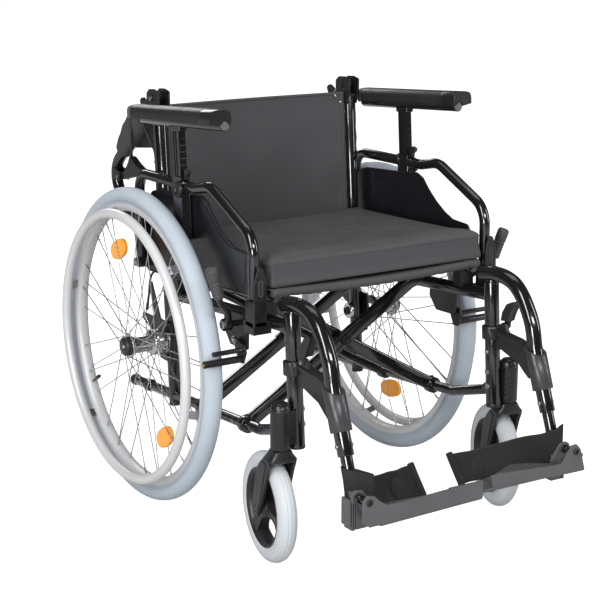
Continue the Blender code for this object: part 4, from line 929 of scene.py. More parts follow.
def build_fittings(side, tag):
    """Hinge plates, armrest pivot plate and rail saddles, and the screws that hold them."""
    hinge = ringed(mm((19, 735), (11, 760), (10.6, 786), (30, 790), (50, 788.5), (61.4, 780), (61.4, 762),
        (50, 750), (46, 735)), 0.0025, 3)
    plate = ringed(mm((-2, 440), (-2, 470), (52, 467), (62, 455), (52, 443)), 0.004, 3)
    pieces = [
        slab(hinge, FRAME_X + 0.0088, FRAME_X + 0.0125, facing(side)),
        slab(hinge, FRAME_X - 0.0125, FRAME_X - 0.0088, facing(side)),
        cross_pin(side, FRAME_X - 0.015, FRAME_X + 0.015, *HINGE, 0.006),
        cross_pin(side, FRAME_X - 0.0135, FRAME_X + 0.0135, 0.0215, 0.752, 0.0035),
        slab(plate, FRAME_X + 0.0107, 0.2365, facing(side)),
        cross_pin(side, 0.235, 0.264, *ARMREST_PIVOT, 0.0045),
    ]
    for u in (0.052, 0.368):
        pieces.append(block((-0.0145, -0.0125, 0.009), (0.0145, 0.0125, 0.044),
            tilted(side, u, UPPER_V, FRAME_X)))
        for across in (-0.0128, 0.0128):
            pieces.append(block((across - 0.0017, -0.0125, 0.04), (across + 0.0017, 0.0125, 0.057),
                tilted(side, u, UPPER_V, FRAME_X)))
    sided(tag, "frame_fittings", pieces, "satin_black_metal", "frame", bevel=0.0008)
    screws = [
        bolt(side, 0.2645, *ARMREST_PIVOT, 0.0085, 0.0035),
        bolt(side, FRAME_X + 0.0145, *HINGE, 0.0052, 0.0022),
        cross_pin(side, 0.201, FRAME_X, *side_point(FRONT_U, 0.035), 0.0055),
        cross_pin(side, 0.201, FRAME_X, *side_point(FRONT_U, 0.062), 0.0055),
        bolt(side, FRAME_X + LOWER_RADIUS, *side_point(0.245, 0.0), 0.0042, 0.0028),
        bolt(side, FRAME_X + UPPER_RADIUS, *side_point(0.052, UPPER_V), 0.004, 0.0026),
        bolt(-side, -FRAME_X + FRONT_RADIUS - 0.0006, *side_point(FRONT_U, 0.1), 0.0042, 0.0028),
    ]
    sided(tag, "frame_screws", screws, "dull_zinc", "frame")


def build_axle(side, tag):
    """The plate with the axle, its discs, and the nut on its inner end."""
    bracket = ringed(mm((-26, 262), (-26, 340), (18, 345), (52, 412), (66, 408), (40, 342), (95, 342),
        (95, 328), (30, 300), (22, 264)), 0.004, 3)
    body = "frame"
    sided(tag, "axle_bracket", [slab(bracket, FRAME_X + CANE_RADIUS + 0.0003, 0.2325, facing(side))],
        "satin_black_metal", body, "axle_plate", bevel=0.0009)
    disc = mm((0, 235.2), (20, 235.2), (23.2, 234), (23.8, 232.5), (23.8, 230), (0, 230))
    inner = mm((0, 204.5), (15, 204.5), (16.5, 203), (16.5, 198.5), (15, 197), (0, 197))
    place = sideways(side, 0, AXLE_Z)
    pieces = [
        turned(disc, place, 40),
        turned(inner, place, 40),
        cross_pin(side, 0.196, 0.303, 0, AXLE_Z, 0.006, 24),
    ]
    sided(tag, "axle_disc", pieces, "bright_zinc", body)
    head = [
        turned(mm((0, 196), (4, 196), (4.5, 192.5), (8, 192.5), (9.2, 194), (9.2, 197.5), (0, 197.5)),
            place, 6),
        bolt(side, 0.2325, -0.012, 0.276, 0.005, 0.003),
        bolt(side, 0.2325, -0.012, 0.33, 0.005, 0.003),
    ]
    sided(tag, "axle_nut", head, "satin_black_metal", body)


class WheelchairSideFrames(bpy.types.Operator):
    """Canes, side tubes, front tubes, rail saddles and axle plates"""

    bl_idname = "wheelchair.side_frames"
    bl_label = "Side frames"

    def execute(self, context):
        for side, tag in SIDES:
            build_tubes(side, tag)
            build_fittings(side, tag)
            build_axle(side, tag)
        return {"FINISHED"}


def build_armrest_loop(side, tag):
    """The flip-up tube in two runs, with the post socket between them and its knob."""
    x = side * ARMREST_X
    path = [(x, 0.0535, 0.455), (x, 0.0535, 0.63), (x, -0.175, 0.6325), (x, -0.229, 0.6435),
        (x, -0.3765, 0.577), (x, -0.3765, 0.4338)]
    bends = np.concatenate([rounded(path[:3], 0.035, 10)[:-1],
        rounded(path[1:], (0, 0.02, 0.05, 0.05, 0), 10)[1:]])
    collar = mm((4.8, 243), (10.8, 243), (11.5, 243.7), (11.5, 260.8), (10.8, 261.5), (4.8, 261.5),
        (4.8, 243))
    eye = turned(collar, sideways(side, *ARMREST_PIVOT), 32)
    gap = (-0.109, -0.132)
    rear = np.concatenate([bends[bends[:, 1] > gap[0]], [(x, gap[0], 0.6318)]])
    front = np.concatenate([[(x, gap[1], 0.632)], bends[bends[:, 1] < gap[1]]])
    sided(tag, "armrest_loop", [sweep(rear, 0.01, 26), sweep(front, 0.01, 26), eye], "gloss_powder_coat",
        "armrest", "armrest_frame")
    socket = tilted(side, POST_U, 0.33, POST_X)
    walls = [
        block((-0.0092, -0.0165, 0), (-0.0072, 0.0165, 0.116), socket),
        block((0.0072, -0.0165, 0), (0.0092, 0.0165, 0.116), socket),
        block((-0.0092, 0.0139, 0), (0.0092, 0.0165, 0.116), socket),
        block((-0.0092, -0.0165, 0), (0.0092, -0.0139, 0.116), socket),
    ]
    sided(tag, "post_socket", walls, "gloss_powder_coat", "armrest", bevel=0.0014)
    knob_at = sideways(side, -0.129, 0.625, 0.2628)
    knob = mm((0, 3), (6, 3), (7.8, 5.8), (12, 7.2), (14.8, 6.2), (15.6, 4), (15.6, 0), (0, 0))
    wing = ringed(mm((-137.5, 644), (-139.5, 660), (-144, 665), (-154.5, 662), (-153, 656), (-146, 651),
        (-145, 644)), 0.0015, 3)
    pieces = [turned(knob, knob_at, 36), slab(wing, 0.25, 0.2575, facing(side))]
    sided(tag, "post_knob", pieces, "moulded_plastic", "armrest", bevel=0.0008)


def build_guard(side, tag):
    """A thin panel whose edge is rolled over a bead, with a shallow raised field."""
    outline = mm((-178, 617), (-115, 611), (-6, 603.5), (22, 595), (44, 574), (64, 480), (60, 452),
        (46, 438), (-60, 442), (-240, 462), (-335, 468), (-347, 478), (-350, 528), (-340, 541),
        (-294, 543.5), (-268, 554), (-240, 571), (-216, 590), (-196, 610))
    soft = ringed(outline, 0.0065, 4)
    centre = soft.mean(0)
    inner = centre + (soft - centre) * (0.9, 0.86)
    bead = np.c_[np.full(len(soft), side * 0.2402), soft]
    pieces = [
        slab(soft, 0.239, 0.241, facing(side)),
        slab(inner, 0.2408, 0.2419, facing(side)),
        sweep(bead, 0.0019, 10, (1, 0, 0), loop=True),
    ]
    sided(tag, "guard", pieces, "guard_plastic", "armrest", "skirt_guard", bevel=0.0008)


def build_post(side, tag):
    """The ridged height post with its stop notches, and the rail under the pad."""
    body = "armrest_top"
    place = tilted(side, POST_U, 0.372, POST_X)
    heights = np.arange(5) * 0.012 + 0.098
    deep = 0.0134
    outline = [(-deep, 0.0), (deep, 0.0), (deep, 0.172), (-deep, 0.172)]
    for h in heights[::-1]:
        outline += [(-deep, h + 0.0034), (0.0016 - deep, h + 0.0016), (0.0016 - deep, h - 0.0016),
            (-deep, h - 0.0034)]
    turn = place @ np.array([[0, 0, 1, 0], [1, 0, 0, 0], [0, 1, 0, 0], [0, 0, 0, 1]], float)
    ridges = [slab([(a, 0.001), (a + 0.0034, 0.001), (a + 0.0034, 0.158), (a, 0.158)], -0.0068, 0.0068,
        turn) for a in (-0.0128, -0.0045, 0.0094)]
    core = slab(np.array(outline) * (-1, 1), -0.0056, 0.0056, turn)
    sided(tag, "height_post", [core, *ridges], "gloss_powder_coat", body, "armrest_post")
    rail = [
        bar(on_frame(side, 0.004, 0.545, POST_X), on_frame(side, 0.316, 0.545, POST_X), 0.0098, 28, 0.0012),
    ]
    end = aimed(on_frame(side, 0.315, 0.545, POST_X), on_frame(side, 0.33, 0.545, POST_X))
    disc = [turned(mm((0, 2.2), (7.8, 2.2), (8.4, 1.6), (8.4, 0), (0, 0)), end, 28)]
    sided(tag, "rail_end", disc, "rail_end", body)
    yoke = block((-0.008, -0.018, 0.157), (0.008, 0.018, 0.1665), place)
    sided(tag, "pad_rail", [*rail, yoke], "gloss_powder_coat", body, bevel=0.001)


def build_pad(side, tag):
    """A section carried along the rail. It shrinks a little at each end, where the caps are glossier."""
    shape = [(0.03, -0.0112), (0.0302, 0.0), (0.0288, 0.0068), (0.0252, 0.0106), (0.019, 0.0122),
        (0.007, 0.0126), (-0.004, 0.0118), (-0.0094, 0.0088), (-0.0118, 0.003), (-0.0124, -0.004),
        (-0.0124, -0.0112), (-0.0106, -0.0112)]
    arch = np.radians(np.linspace(172, 8, 12))
    shape += [(0.0102 * math.cos(a), -0.0162 + 0.01 * math.sin(a)) for a in arch]
    section = np.array(shape)
    middle = np.array([0.0089, 0.0])
    section = section - middle
    section[:, 0] *= side
    body = "armrest_top"
    axes = tilted(1, 0, 0, 0)[:3, :3]

    def run(u_from, u_to, grow):
        steps = np.array([0, 0.0005, 0.0016, 0.0034])
        u = np.concatenate([u_from + steps, [(u_from + u_to) / 2], u_to - steps[::-1]])
        scale = np.array([0.955, 0.975, 0.992, 1, 1, 1, 0.992, 0.975, 0.955]) * grow
        centre = np.array([on_frame(side, a, 0.5604, POST_X + middle[0]) for a in u])
        spread = section[None] * scale[:, None, None]
        return loft(centre[:, None] + spread[..., :1] * axes[:, 0] + spread[..., 1:] * axes[:, 2])

    sided(tag, "pad", [run(0.006, 0.279, 1.0)], "pad_skin", body, "armrest_pad", sharp=42)
    sided(tag, "pad_rear_cap", [run(-0.006, 0.008, 1.015)], "rail_end", body, slot="pad_foam", sharp=42)
    caps = [run(0.277, 0.319, 1.015)]
    sided(tag, "pad_caps", caps, "pad_cap", body, sharp=42)


def build_receiver(side, tag):
    """The box that takes the front of the armrest, and its tongue with a slot, whose opening is a flat
    black patch of painted shade inside a rim.
    """
    pieces = [
        block((side * (FRAME_X + UPPER_RADIUS + 0.0003), -0.3985, 0.411), (side * 0.2655, -0.3635, 0.4335)),
        block((side * 0.2628, -0.3985, 0.425), (side * 0.2655, -0.37, 0.47)),
        block((side * 0.2385, -0.3985, 0.425), (side * 0.2412, -0.37, 0.47)),
        block((side * 0.2385, -0.3985, 0.425), (side * 0.2655, -0.394, 0.47)),
    ]
    tongue = ringed(mm((238.5, 425), (261, 425), (265, 445), (264, 498), (260.8, 514), (256, 526),
        (251, 530), (246, 526), (241.2, 514), (238.5, 498)), 0.0035, 4)
    pieces.append(slab(tongue * (side, 1), -0.3985, -0.394, forward()))
    sided(tag, "receiver", pieces, "satin_black_metal", "frame", "armrest_receiver", slot="frame_paint",
        bevel=0.0012)
    slot = ringed(mm((247.3, 479), (254.7, 479), (254.7, 506), (247.3, 506)), 0.0034, 6) * (side, 1)
    rim = np.c_[slot[:, 0], np.full(len(slot), -0.3988), slot[:, 1]]
    # Painted shade: a flat black patch stands in for the dark opening of the slot.
    sided(tag, "receiver_slot_shade", [slab(slot, -0.399, -0.3983, forward())], "cable_jacket", "frame")
    sided(tag, "slot_rim", [sweep(rim, 0.0011, 10, (0, 1, 0), loop=True)], "sleeve_plastic", "frame")


class WheelchairArmrests(bpy.types.Operator):
    """Armrest loops, sockets, posts, pads, guards and front receivers"""

    bl_idname = "wheelchair.armrests"
    bl_label = "Armrests"

    def execute(self, context):
        for side, tag in SIDES:
            build_armrest_loop(side, tag)
            build_guard(side, tag)
            build_post(side, tag)
            build_pad(side, tag)
            build_receiver(side, tag)
        return {"FINISHED"}


def build_hanger(side, tag):
    """The swing-away tube, its moulded arm with clamp and rib, the sleeve and the lock lever."""
    x = side * FRAME_X
    body = "hanger"
    bend = [(-0.4185, 0.466), (-0.44, 0.4705), (-0.465, 0.4725), (-0.49, 0.4705), (-0.515, 0.461),
        (-0.54, 0.437), (-0.562, 0.4), STRAIGHT_TOP, leg_point(0.04), leg_point(0.08)]
    path = np.array([(x, *p) for p in bend])
    path = np.concatenate([flowing(path, 60), [(x, *leg_point(STRAIGHT_LENGTH))]])
    pieces = [
        sweep(path, 0.014, 30, rim=0.0015),
        bar(on_frame(side, FRONT_U, 0.152), on_frame(side, FRONT_U, 0.2455), 0.009, 24),
    ]
    sided(tag, "hanger_tube", pieces, "gloss_powder_coat", body, "hanger")
    arm = ringed(mm((-456, 331), (-456, 372.5), (-474, 372), (-481, 386), (-492, 386), (-498, 370.5),
        (-532.7, 367), (-560, 360), (-572, 340), (-576, 300), (-560, 300), (-548, 308), (-532, 320),
        (-482.8, 334)), 0.003, 3)
    clamp = mm((14.3, 124), (18.5, 124), (19.2, 125), (19.2, 148), (18.5, 149), (14.3, 149), (14.3, 124))
    upright = tilted(side, FRONT_U, 0, FRAME_X)
    pieces = [slab(arm, FRAME_X - 0.004, FRAME_X + 0.0036, facing(side)), turned(clamp, upright, 40)]
    rib = ringed(mm((-458, 365), (-458, 371.5), (-532.7, 366), (-562, 358), (-562, 351), (-532.7, 359)),
        0.002, 2)
    pieces.append(slab(rib, FRAME_X - 0.015, FRAME_X + 0.007, facing(side)))
    sided(tag, "hanger_arm", pieces, "moulded_plastic", body, bevel=0.0016)
    t = np.linspace(0, math.tau, 49)[:-1]
    axis = unit(np.array([0, -math.sin(LEAN), -math.cos(LEAN)]))
    rearward = np.array([0, math.cos(LEAN), -math.sin(LEAN)])
    spread = np.cos(t)[:, None] * np.array([1.0, 0, 0]) + np.sin(t)[:, None] * rearward
    start = np.array((x, *STRAIGHT_TOP))
    top = -0.001 - 0.013 * np.sin(t)
    rows = []
    for radius, share in ((0.0145, 0.0), (0.018, 0.0), (0.0188, 0.02), (0.0188, 0.98), (0.018, 1.0),
            (0.0145, 1.0)):
        along = top + (0.072 - top) * share
        rows.append(start + axis * along[:, None] + spread * radius)
    shell = loft(np.array(rows))
    sided(tag, "leg_sleeve", [shell], "sleeve_plastic", body, "hanger_sleeve", slot="plastic")
    screws = [
        bolt(side, 0.225, -0.486, 0.38, 0.0046, 0.0022),
        bolt(side, FRAME_X + 0.0135, *leg_point(0.095), 0.004, 0.003),
        bolt(-side, -FRAME_X + 0.0135, *leg_point(0.095), 0.004, 0.003),
    ]
    sided(tag, "hanger_screws", screws, "dull_zinc", body)
    fin = ringed(mm((-480, 376.5), (-481, 390), (-485, 407), (-496, 424), (-510, 431), (-517, 430),
        (-512, 418), (-506, 406), (-501, 393), (-494.5, 388), (-494, 376.5)), 0.003, 4)
    thick = slab(fin, 0.2206, 0.2248, facing(side))
    fan = slab(fin[fin[:, 1] > 0.39], 0.2105, 0.227, facing(side))
    sided(tag, "lock_lever", [thick, fan], "moulded_plastic", "hanger_lock", "hanger_lock_lever",
        slot="dark_metal", bevel=0.0018)


def build_foot(side, tag):
    """The telescopic tube with its clamp, the footplate pivot and the row of holes, whose darkness is
    painted shade on flat black dots.
    """
    x = side * FRAME_X
    body = "foot"
    front = LIP_FRONT + (0.001 if side < 0 else 0.0075)
    y, z = -0.64, PLATE_PIVOT[1]
    pieces = [
        bar((x, *leg_point(0.045 if side < 0 else 0.075)), (x, *leg_point(0.184)), 0.0105, 26),
        bar((side * PLATE_PIVOT[0], y, z), (side * PLATE_PIVOT[0], front, z), 0.005, 20),
        bar((side * PLATE_PIVOT[0], -0.6655, z), (side * PLATE_PIVOT[0], -0.6565, z), 0.0085, 24),
        bar((x, -0.625, 0.205), (x, -0.6165, 0.205), 0.006, 20),
    ]
    sided(tag, "leg_tube", pieces, "gloss_powder_coat", body, "foot_tube")
    clamp = [
        block((side * 0.23, -0.6498, 0.141), (side * 0.235, -0.6255, 0.188)),
        block((side * 0.1985, -0.6498, 0.134), (side * 0.2215, -0.6255, 0.183)),
        block((side * 0.206, -0.646, 0.148), (side * 0.233, -0.629, 0.186)),
    ]
    bars = [block((side * a, -0.6499, 0.133), (side * (a + 0.0026), -0.625, 0.2)) for a in (0.2228, 0.2264)]
    sided(tag, "foot_clamp", [*clamp, *bars], "footplate_plastic", body, bevel=0.0014)
    # Painted shade: flat matte black dots stand in for the dark insides of the holes.
    hole_shade_dots = [bolt(s, s * side * FRAME_X + 0.0098, *leg_point(d), 0.0028, 0.001) for s in (-1, 1)
        for d in (0.12, 0.134, 0.148)]
    sided(tag, "leg_hole_shade", hole_shade_dots, "cable_jacket", body)


# Per side: centre, half width, top and bottom of the heel strap's cuff.
CUFFS = {-1: (0.2015, 0.0285, 0.2252, 0.1754), 1: (0.2168, 0.0155, 0.208, 0.185)}


def build_heel_strap(side, tag):
    """A webbing band that leaves its cuff, sags back along a smooth curve and ends in a slanted hem."""
    if side < 0:
        spots = mm((-200, -612, 186), (-172, -600, 172), (-150, -592, 165), (-110, -583.5, 162.5),
            (-80, -585, 164.5), (-54.5, -590, 169))
    else:
        spots = mm((231, -639, 206), (214, -645.5, 201), (196, -640, 195), (170, -621, 188),
            (130, -602, 178), (85, -592, 172), (45, -595, 173.5), (20.9, -600, 176.5))
    line = flowing(spots, 60)
    t = np.linspace(0, 1, 60)[:, None]
    w = np.linspace(-1, 1, 15)[None]
    px = line[:, :1] - 0.0085 * w * t**2
    lean = 0.0008 * np.sin(t * 14) + 0.008 * np.clip(t * 4, 0, 1)
    py = line[:, 1:2] + 0.0009 * np.sin(t * 31) + lean * w
    pz = line[:, 2:] + (0.0268 - 0.001 * np.sin(math.pi * t)) * w
    front = np.stack(np.broadcast_arrays(px, py, pz), -1)
    piece = sided(tag, "heel_band", [lattice(front)], "webbing", "foot", "heel_strap")
    thicken(piece, 0.0022)
    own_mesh(piece)
    last = front[-1][[0, 7, 14]] + np.array([(0, 0, -0.001), (0, 0, 0), (0, 0, 0.002)])
    hem = sided(tag, "heel_hem", [sweep(flowing(last, 16), 0.0062, 18)], "webbing", "foot")
    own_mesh(hem)
    middle = front[44, 6]
    facing_out = aimed(middle, middle + (0, -1.0, 0.3))
    patch = turned(mm((0, 2.2), (17, 2), (19.5, 0.8), (20, -0.5), (0, -0.5)), facing_out, 40)
    spot = sided(tag, "heel_patch", [patch], "webbing", "foot")
    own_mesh(spot)
    centre, wide, top, low = CUFFS[side]
    a = np.linspace(0, math.tau, 61)
    rows = []
    for share, grow in ((0.0, 1.0), (0.3, 1.02), (0.6, 0.99), (1.0, 1.0)):
        ripple = grow * (1 + 0.02 * np.sin(3 * a + 4 * share))
        z = low + share * (top - low) + (0.0068 + 0.0035 * share) * np.cos(a)
        y = -0.6293 + (z - 0.205) * math.tan(LEAN) + 0.015 * np.sin(a) * ripple
        rows.append(np.stack([side * (centre + wide * np.cos(a) * ripple), y, z], 1))
    cuff = sided(tag, "strap_cuff", [lattice(np.array(rows))], "webbing", "foot", sharp=55)
    thicken(cuff, 0.0014)


def build_footplate(side, tag):
    """A plate with a shaped front lip, a rear lug and a ribbed tread."""
    right = side < 0
    slope = math.tan(math.radians(1 if right else 0.5))
    fall = math.tan(math.radians(8 if right else 4))
    reach = 0.22 if right else 0.2557
    top = 0.163 if right else 0.1715
    front = LIP_FRONT if right else LIP_FRONT + 0.0065
    thick = 0.006
    body = "footplate"

    def tread(start, end, inner_depth, outer_depth, rise=0.0, near=0.0015):
        """A thin plate that falls towards its rear edge, which runs aslant from one depth to the other."""
        rings = []
        for a in np.linspace(start, end, 8):
            far = outer_depth + (inner_depth - outer_depth) * np.clip((a - 0.07) / 0.1, 0, 1)
            low = top - thick + slope * a
            high = top + rise + slope * a
            rings.append([(side * (PLATE_PIVOT[0] - a), front + y, z - fall * y) for y, z in ((near, high),
                (far, high), (far, low), (near, low))])
        return loft(np.array(rings))

    if right:
        lip = mm((245.5, 170), (245.5, 206), (237, 215), (223, 211.1), (210.6, 199.4), (194.7, 190.8),
            (141.2, 190.9), (2, 194.5), (2, 163), (176.4, 161.3), (232.7, 160))
    else:
        lip = mm((232, 164), (220, 206), (211, 215.8), (200, 215), (190, 202), (180, 187), (172, 185.3),
            (37.4, 195.9), (20.9, 194.7), (25, 172.8), (190, 165))
    hole = (0.234, 0.2028) if right else (0.209, 0.203)
    lip = ringed(lip, 0.0022, 3)
    lug = ringed([(0.2325, 0.184), (0.2325, 0.201), (0.226, 0.205), (0.212, 0.203), (0.192, 0.176),
        (0.192, top - 0.006), (0.206, top - 0.006), (0.222, 0.18)], 0.002, 3)
    inner_depth = 0.078 if right else 0.048
    pieces = [
        tread(0.012, reach, inner_depth, 0.098),
        slab(lip * (side, 1), front, front + 0.005, forward()),
        slab(lug * (side, 1), -0.656, -0.6505, forward()),
    ]
    sided(tag, "plate", pieces, "footplate_plastic", body, "footplate", bevel=0.0009)
    ribs = []
    for k in range(12):
        a = 0.03 + k * 0.0135
        ribs.append(tread(a, a + 0.0035, inner_depth - 0.002, 0.096, 0.0006, 0.01))
    sided(tag, "plate_ribs", ribs, "footplate_plastic", body)
    spot = np.array([[1, 0, 0, side * hole[0]], [0, 0, -1, front], [0, 1, 0, hole[1]], [0, 0, 0, 1]], float)
    screw = turned(mm((0, 0.4), (2.8, 0.4), (3.1, 2.2), (5, 2.2), (6.2, 1.2), (6.2, -1), (0, -1)), spot, 24)
    sided(tag, "plate_screw", [screw], "satin_black_metal", body)


class WheelchairHangers(bpy.types.Operator):
    """Swing-away hangers, foot tubes, heel straps and footplates"""

    bl_idname = "wheelchair.hangers"
    bl_label = "Hangers and footplates"

    def execute(self, context):
        for side, tag in SIDES:
            build_hanger(side, tag)
            build_foot(side, tag)
            build_heel_strap(side, tag)
            build_footplate(side, tag)
        return {"FINISHED"}


def build_brake(side, tag):
    """A wheel lock: bracket, lever with its grip, and shoe."""
    outline = ringed(mm((-362.5, 429), (-362.5, 409), (-323, 404), (-321, 362), (-262, 360), (-240, 385),
        (-240, 420)), 0.004, 3)
    face = FRAME_X + UPPER_RADIUS + 0.0003
    pieces = [
        slab(outline, face, 0.2345, facing(side)),
        cross_pin(side, 0.234, 0.2665, -0.29, 0.406, 0.0055),
        cross_pin(side, 0.234, 0.244, -0.296, 0.375, 0.0035),
    ]
    sided(tag, "lock_bracket", pieces, "satin_black_metal", "frame", "brake_bracket", bevel=0.0009)
    screws = [nut(side, 0.2345, y, z, 0.0048, 0.0034) for y, z in ((-0.33, 0.416), (-0.355, 0.419),
        (-0.252, 0.4), (-0.276, 0.372))]
    screws.append(bolt(side, 0.2655, -0.29, 0.406, 0.0085, 0.0024))
    screws.append(bolt(side, 0.2432, -0.296, 0.375, 0.0056, 0.002))
    sided(tag, "lock_screws", screws, "bright_zinc", "frame")

    body = "brake_lever"
    path = flowing([(side * a, b, c) for a, b, c in ((0.2575, -0.293, 0.408), (0.262, -0.306, 0.423),
        (0.276, -0.324, 0.442), (0.296, -0.34, 0.46), (0.304, -0.3445, 0.476))], 30)
    hub = mm((5.8, 250), (10.8, 250), (11.6, 251), (11.6, 264), (10.8, 265), (5.8, 265), (5.8, 250))
    pieces = [turned(hub, sideways(side, -0.29, 0.406), 32), sweep(path, 0.0056, 20)]
    sided(tag, "lock_lever_arm", pieces, "satin_black_metal", body, "brake_lever")
    start, end = (side * 0.302, -0.344, 0.472), (side * 0.3215, -0.351, 0.528)
    long = float(np.linalg.norm(np.subtract(end, start)))
    grip = [(0, 0), (0.009, 0), (0.0102, 0.0015)]
    for k in range(5):
        s = 0.006 + k * 0.0055
        grip += [(0.0108, s), (0.0108, s + 0.003), (0.0101, s + 0.0038), (0.0101, s + 0.0046)]
    grip += [(0.011, 0.036), (0.0112, long - 0.008), (0.0105, long - 0.003), (0.0075, long - 0.0004),
        (0, long)]
    sided(tag, "lock_grip", [turned(grip, aimed(start, end), 32)], "lever_grip", body)

    body = "brake_shoe"
    arm = ringed(mm((-288, 381), (-290, 368), (-306, 338), (-320, 338), (-330, 360), (-326, 373)), 0.003, 3)
    pieces = [
        slab(arm, 0.2383, 0.2429, facing(side)),
        cross_pin(side, 0.24, 0.318, -0.314, 0.346, 0.0066, 24),
        bar((side * 0.24, -0.3215, 0.365), (side * 0.306, -0.326, 0.366), 0.0046, 18),
    ]
    sided(tag, "lock_shoe", pieces, "satin_black_metal", body, "brake_shoe", bevel=0.0008)
    sided(tag, "shoe_screw", [bolt(side, 0.3178, -0.314, 0.346, 0.0038, 0.0026),
        bolt(side, 0.2429, -0.318, 0.366, 0.0042, 0.0022)], "brass_screw", body)


class WheelchairBrakes(bpy.types.Operator):
    """Wheel locks: bracket, lever and shoe"""

    bl_idname = "wheelchair.brakes"
    bl_label = "Wheel locks"

    def execute(self, context):
        for side, tag in SIDES:
            build_brake(side, tag)
        return {"FINISHED"}


def build_cable(side, tag):
    """From the clamp at the axle plate up the cane and over into the lever; it rides on no body."""
    lane = side * (FRAME_X + 0.0068)
    line = [(side * 0.2265, 0.086, 0.3455), (side * 0.2262, 0.076, 0.38), (side * 0.2262, 0.064, 0.42),
        (lane, *side_point(-0.0155, 0.27)), (lane, *side_point(-0.0155, 0.38)),
        (lane, *side_point(-0.0155, 0.47)), (lane, 0.056, 0.682), (side * 0.229, 0.07, 0.708),
        (side * 0.2332, 0.095, 0.74), (side * 0.2335, 0.119, 0.744), (side * 0.2335, 0.126, 0.722),
        (side * 0.2335, 0.123, 0.695), (side * 0.23, 0.128, 0.67), (side * 0.223, 0.143, 0.654),
        (side * 0.218, 0.155, 0.65)]
    path = flowing(line, 90)
    piece = sided(tag, "cable", [sweep(path, 0.0024, 12, (1, 0, 0.2))], "cable_jacket", None, "brake_cable")
    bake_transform(piece)
    ties = [bar(on_frame(side, -0.0155, v - 0.002, FRAME_X + 0.0068),
        on_frame(side, -0.0155, v + 0.002, FRAME_X + 0.0068), 0.0031, 14) for v in (0.31, 0.46)]
    ties.append(bar(path[3], path[0], 0.003, 14))
    sided(tag, "cable_ties", ties, "moulded_plastic", "frame")
    return piece


def build_cane(side, tag):
    """A folded upper cane with its hinge, grip, attendant lever and cable."""
    x = side * FRAME_X
    body = "upper_cane"
    bend = rounded([(x, *cane_point(0.02)), (x, *CANE_CORNER), (x, *GRIP_END)], 0.045, 14)
    bend[-1] = bend[-1] + unit(bend[-2] - bend[-1]) * 0.0103
    fall = math.atan2(CANE_DIRECTION[1], CANE_DIRECTION[0])
    turn = Matrix.Translation((x, *HINGE)) @ Matrix.Rotation(fall, 4, "X")
    sided(tag, "cane_tube", [sweep(bend, 0.0115, 26)], "gloss_powder_coat", body, "upper_cane")
    latch = ringed([cane_point(*p) for p in ((0.04, 0.008), (0.046, 0.026), (0.05, 0.034), (0.06, 0.034),
        (0.062, 0.026), (0.066, 0.008))], 0.002, 3)
    ear = ringed(mm((192, 590), (192, 609), (222, 615), (226, 590)), 0.003, 3)
    pieces = [
        block((-0.0085, -0.001, -0.0095), (0.0085, 0.036, 0.0095), np.array(turn)),
        cross_pin(side, FRAME_X - 0.0085, FRAME_X + 0.0085, *HINGE, 0.01, 28),
        slab(latch, FRAME_X - 0.004, FRAME_X + 0.004, facing(side)),
        slab(ear, FRAME_X - 0.012, FRAME_X - 0.0078, facing(side)),
        slab(ear, FRAME_X + 0.0078, FRAME_X + 0.012, facing(side)),
    ]
    sided(tag, "cane_hinge", pieces, "satin_black_metal", body, bevel=0.001)
    start, end = np.array((x, 0.205, 0.56)), np.array((x, *GRIP_END))
    long = float(np.linalg.norm(end - start))
    grip = [(0.0123, 0), (0.015, 0), (0.0175, 0.002), (0.0175, 0.005), (0.016, 0.007)]
    for k in range(int((long - 0.03) / 0.0075)):
        s = 0.011 + k * 0.0075
        grip += [(0.0163, s), (0.0163, s + 0.0045), (0.0153, s + 0.0055), (0.0153, s + 0.0065)]
    grip += [(0.0163, long - 0.012), (0.0163, long - 0.006), (0.014, long - 0.0015), (0.008, long),
        (0, long)]
    sided(tag, "hand_grip", [turned(grip, aimed(start, end), 36)], "grip_rubber", body, "push_grip")
    blade = ringed(mm((206, 593), (206, 605), (196, 608), (150, 616), (108, 625), (102, 620), (106, 613),
        (150, 602), (194, 592)), 0.0022, 3)
    boot = ringed(mm((154.1, 645), (147, 642.5), (127, 632.5), (105.6, 625.5), (105.6, 619), (130, 610),
        (156, 601), (188, 592.5), (186, 606), (171.5, 620), (161, 632)), 0.003, 3)
    pieces = [
        slab(blade, FRAME_X - 0.007, FRAME_X + 0.007, facing(side)),
        slab(boot, FRAME_X - 0.0074, FRAME_X + 0.0074, facing(side)),
        bar((x, 0.1545, 0.64), (side * (FRAME_X + 0.004), 0.155, 0.652), 0.0036, 16),
    ]
    sided(tag, "hand_lever", pieces, "satin_black_metal", "attendant_lever", "attendant_lever",
        bevel=0.0018)
    screws = [
        bolt(side, FRAME_X + 0.012, 0.2, 0.599, 0.0045, 0.0022),
        bolt(-side, -FRAME_X + 0.012, 0.2, 0.599, 0.0045, 0.0022),
    ]
    sided(tag, "hand_lever_screw", screws, "dull_zinc", body)
    build_cable(side, tag)


class WheelchairCanes(bpy.types.Operator):
    """Folded upper canes, push grips, attendant levers and brake cables"""

    bl_idname = "wheelchair.canes"
    bl_label = "Push canes"

    def execute(self, context):
        for side, tag in SIDES:
            build_cane(side, tag)
        return {"FINISHED"}


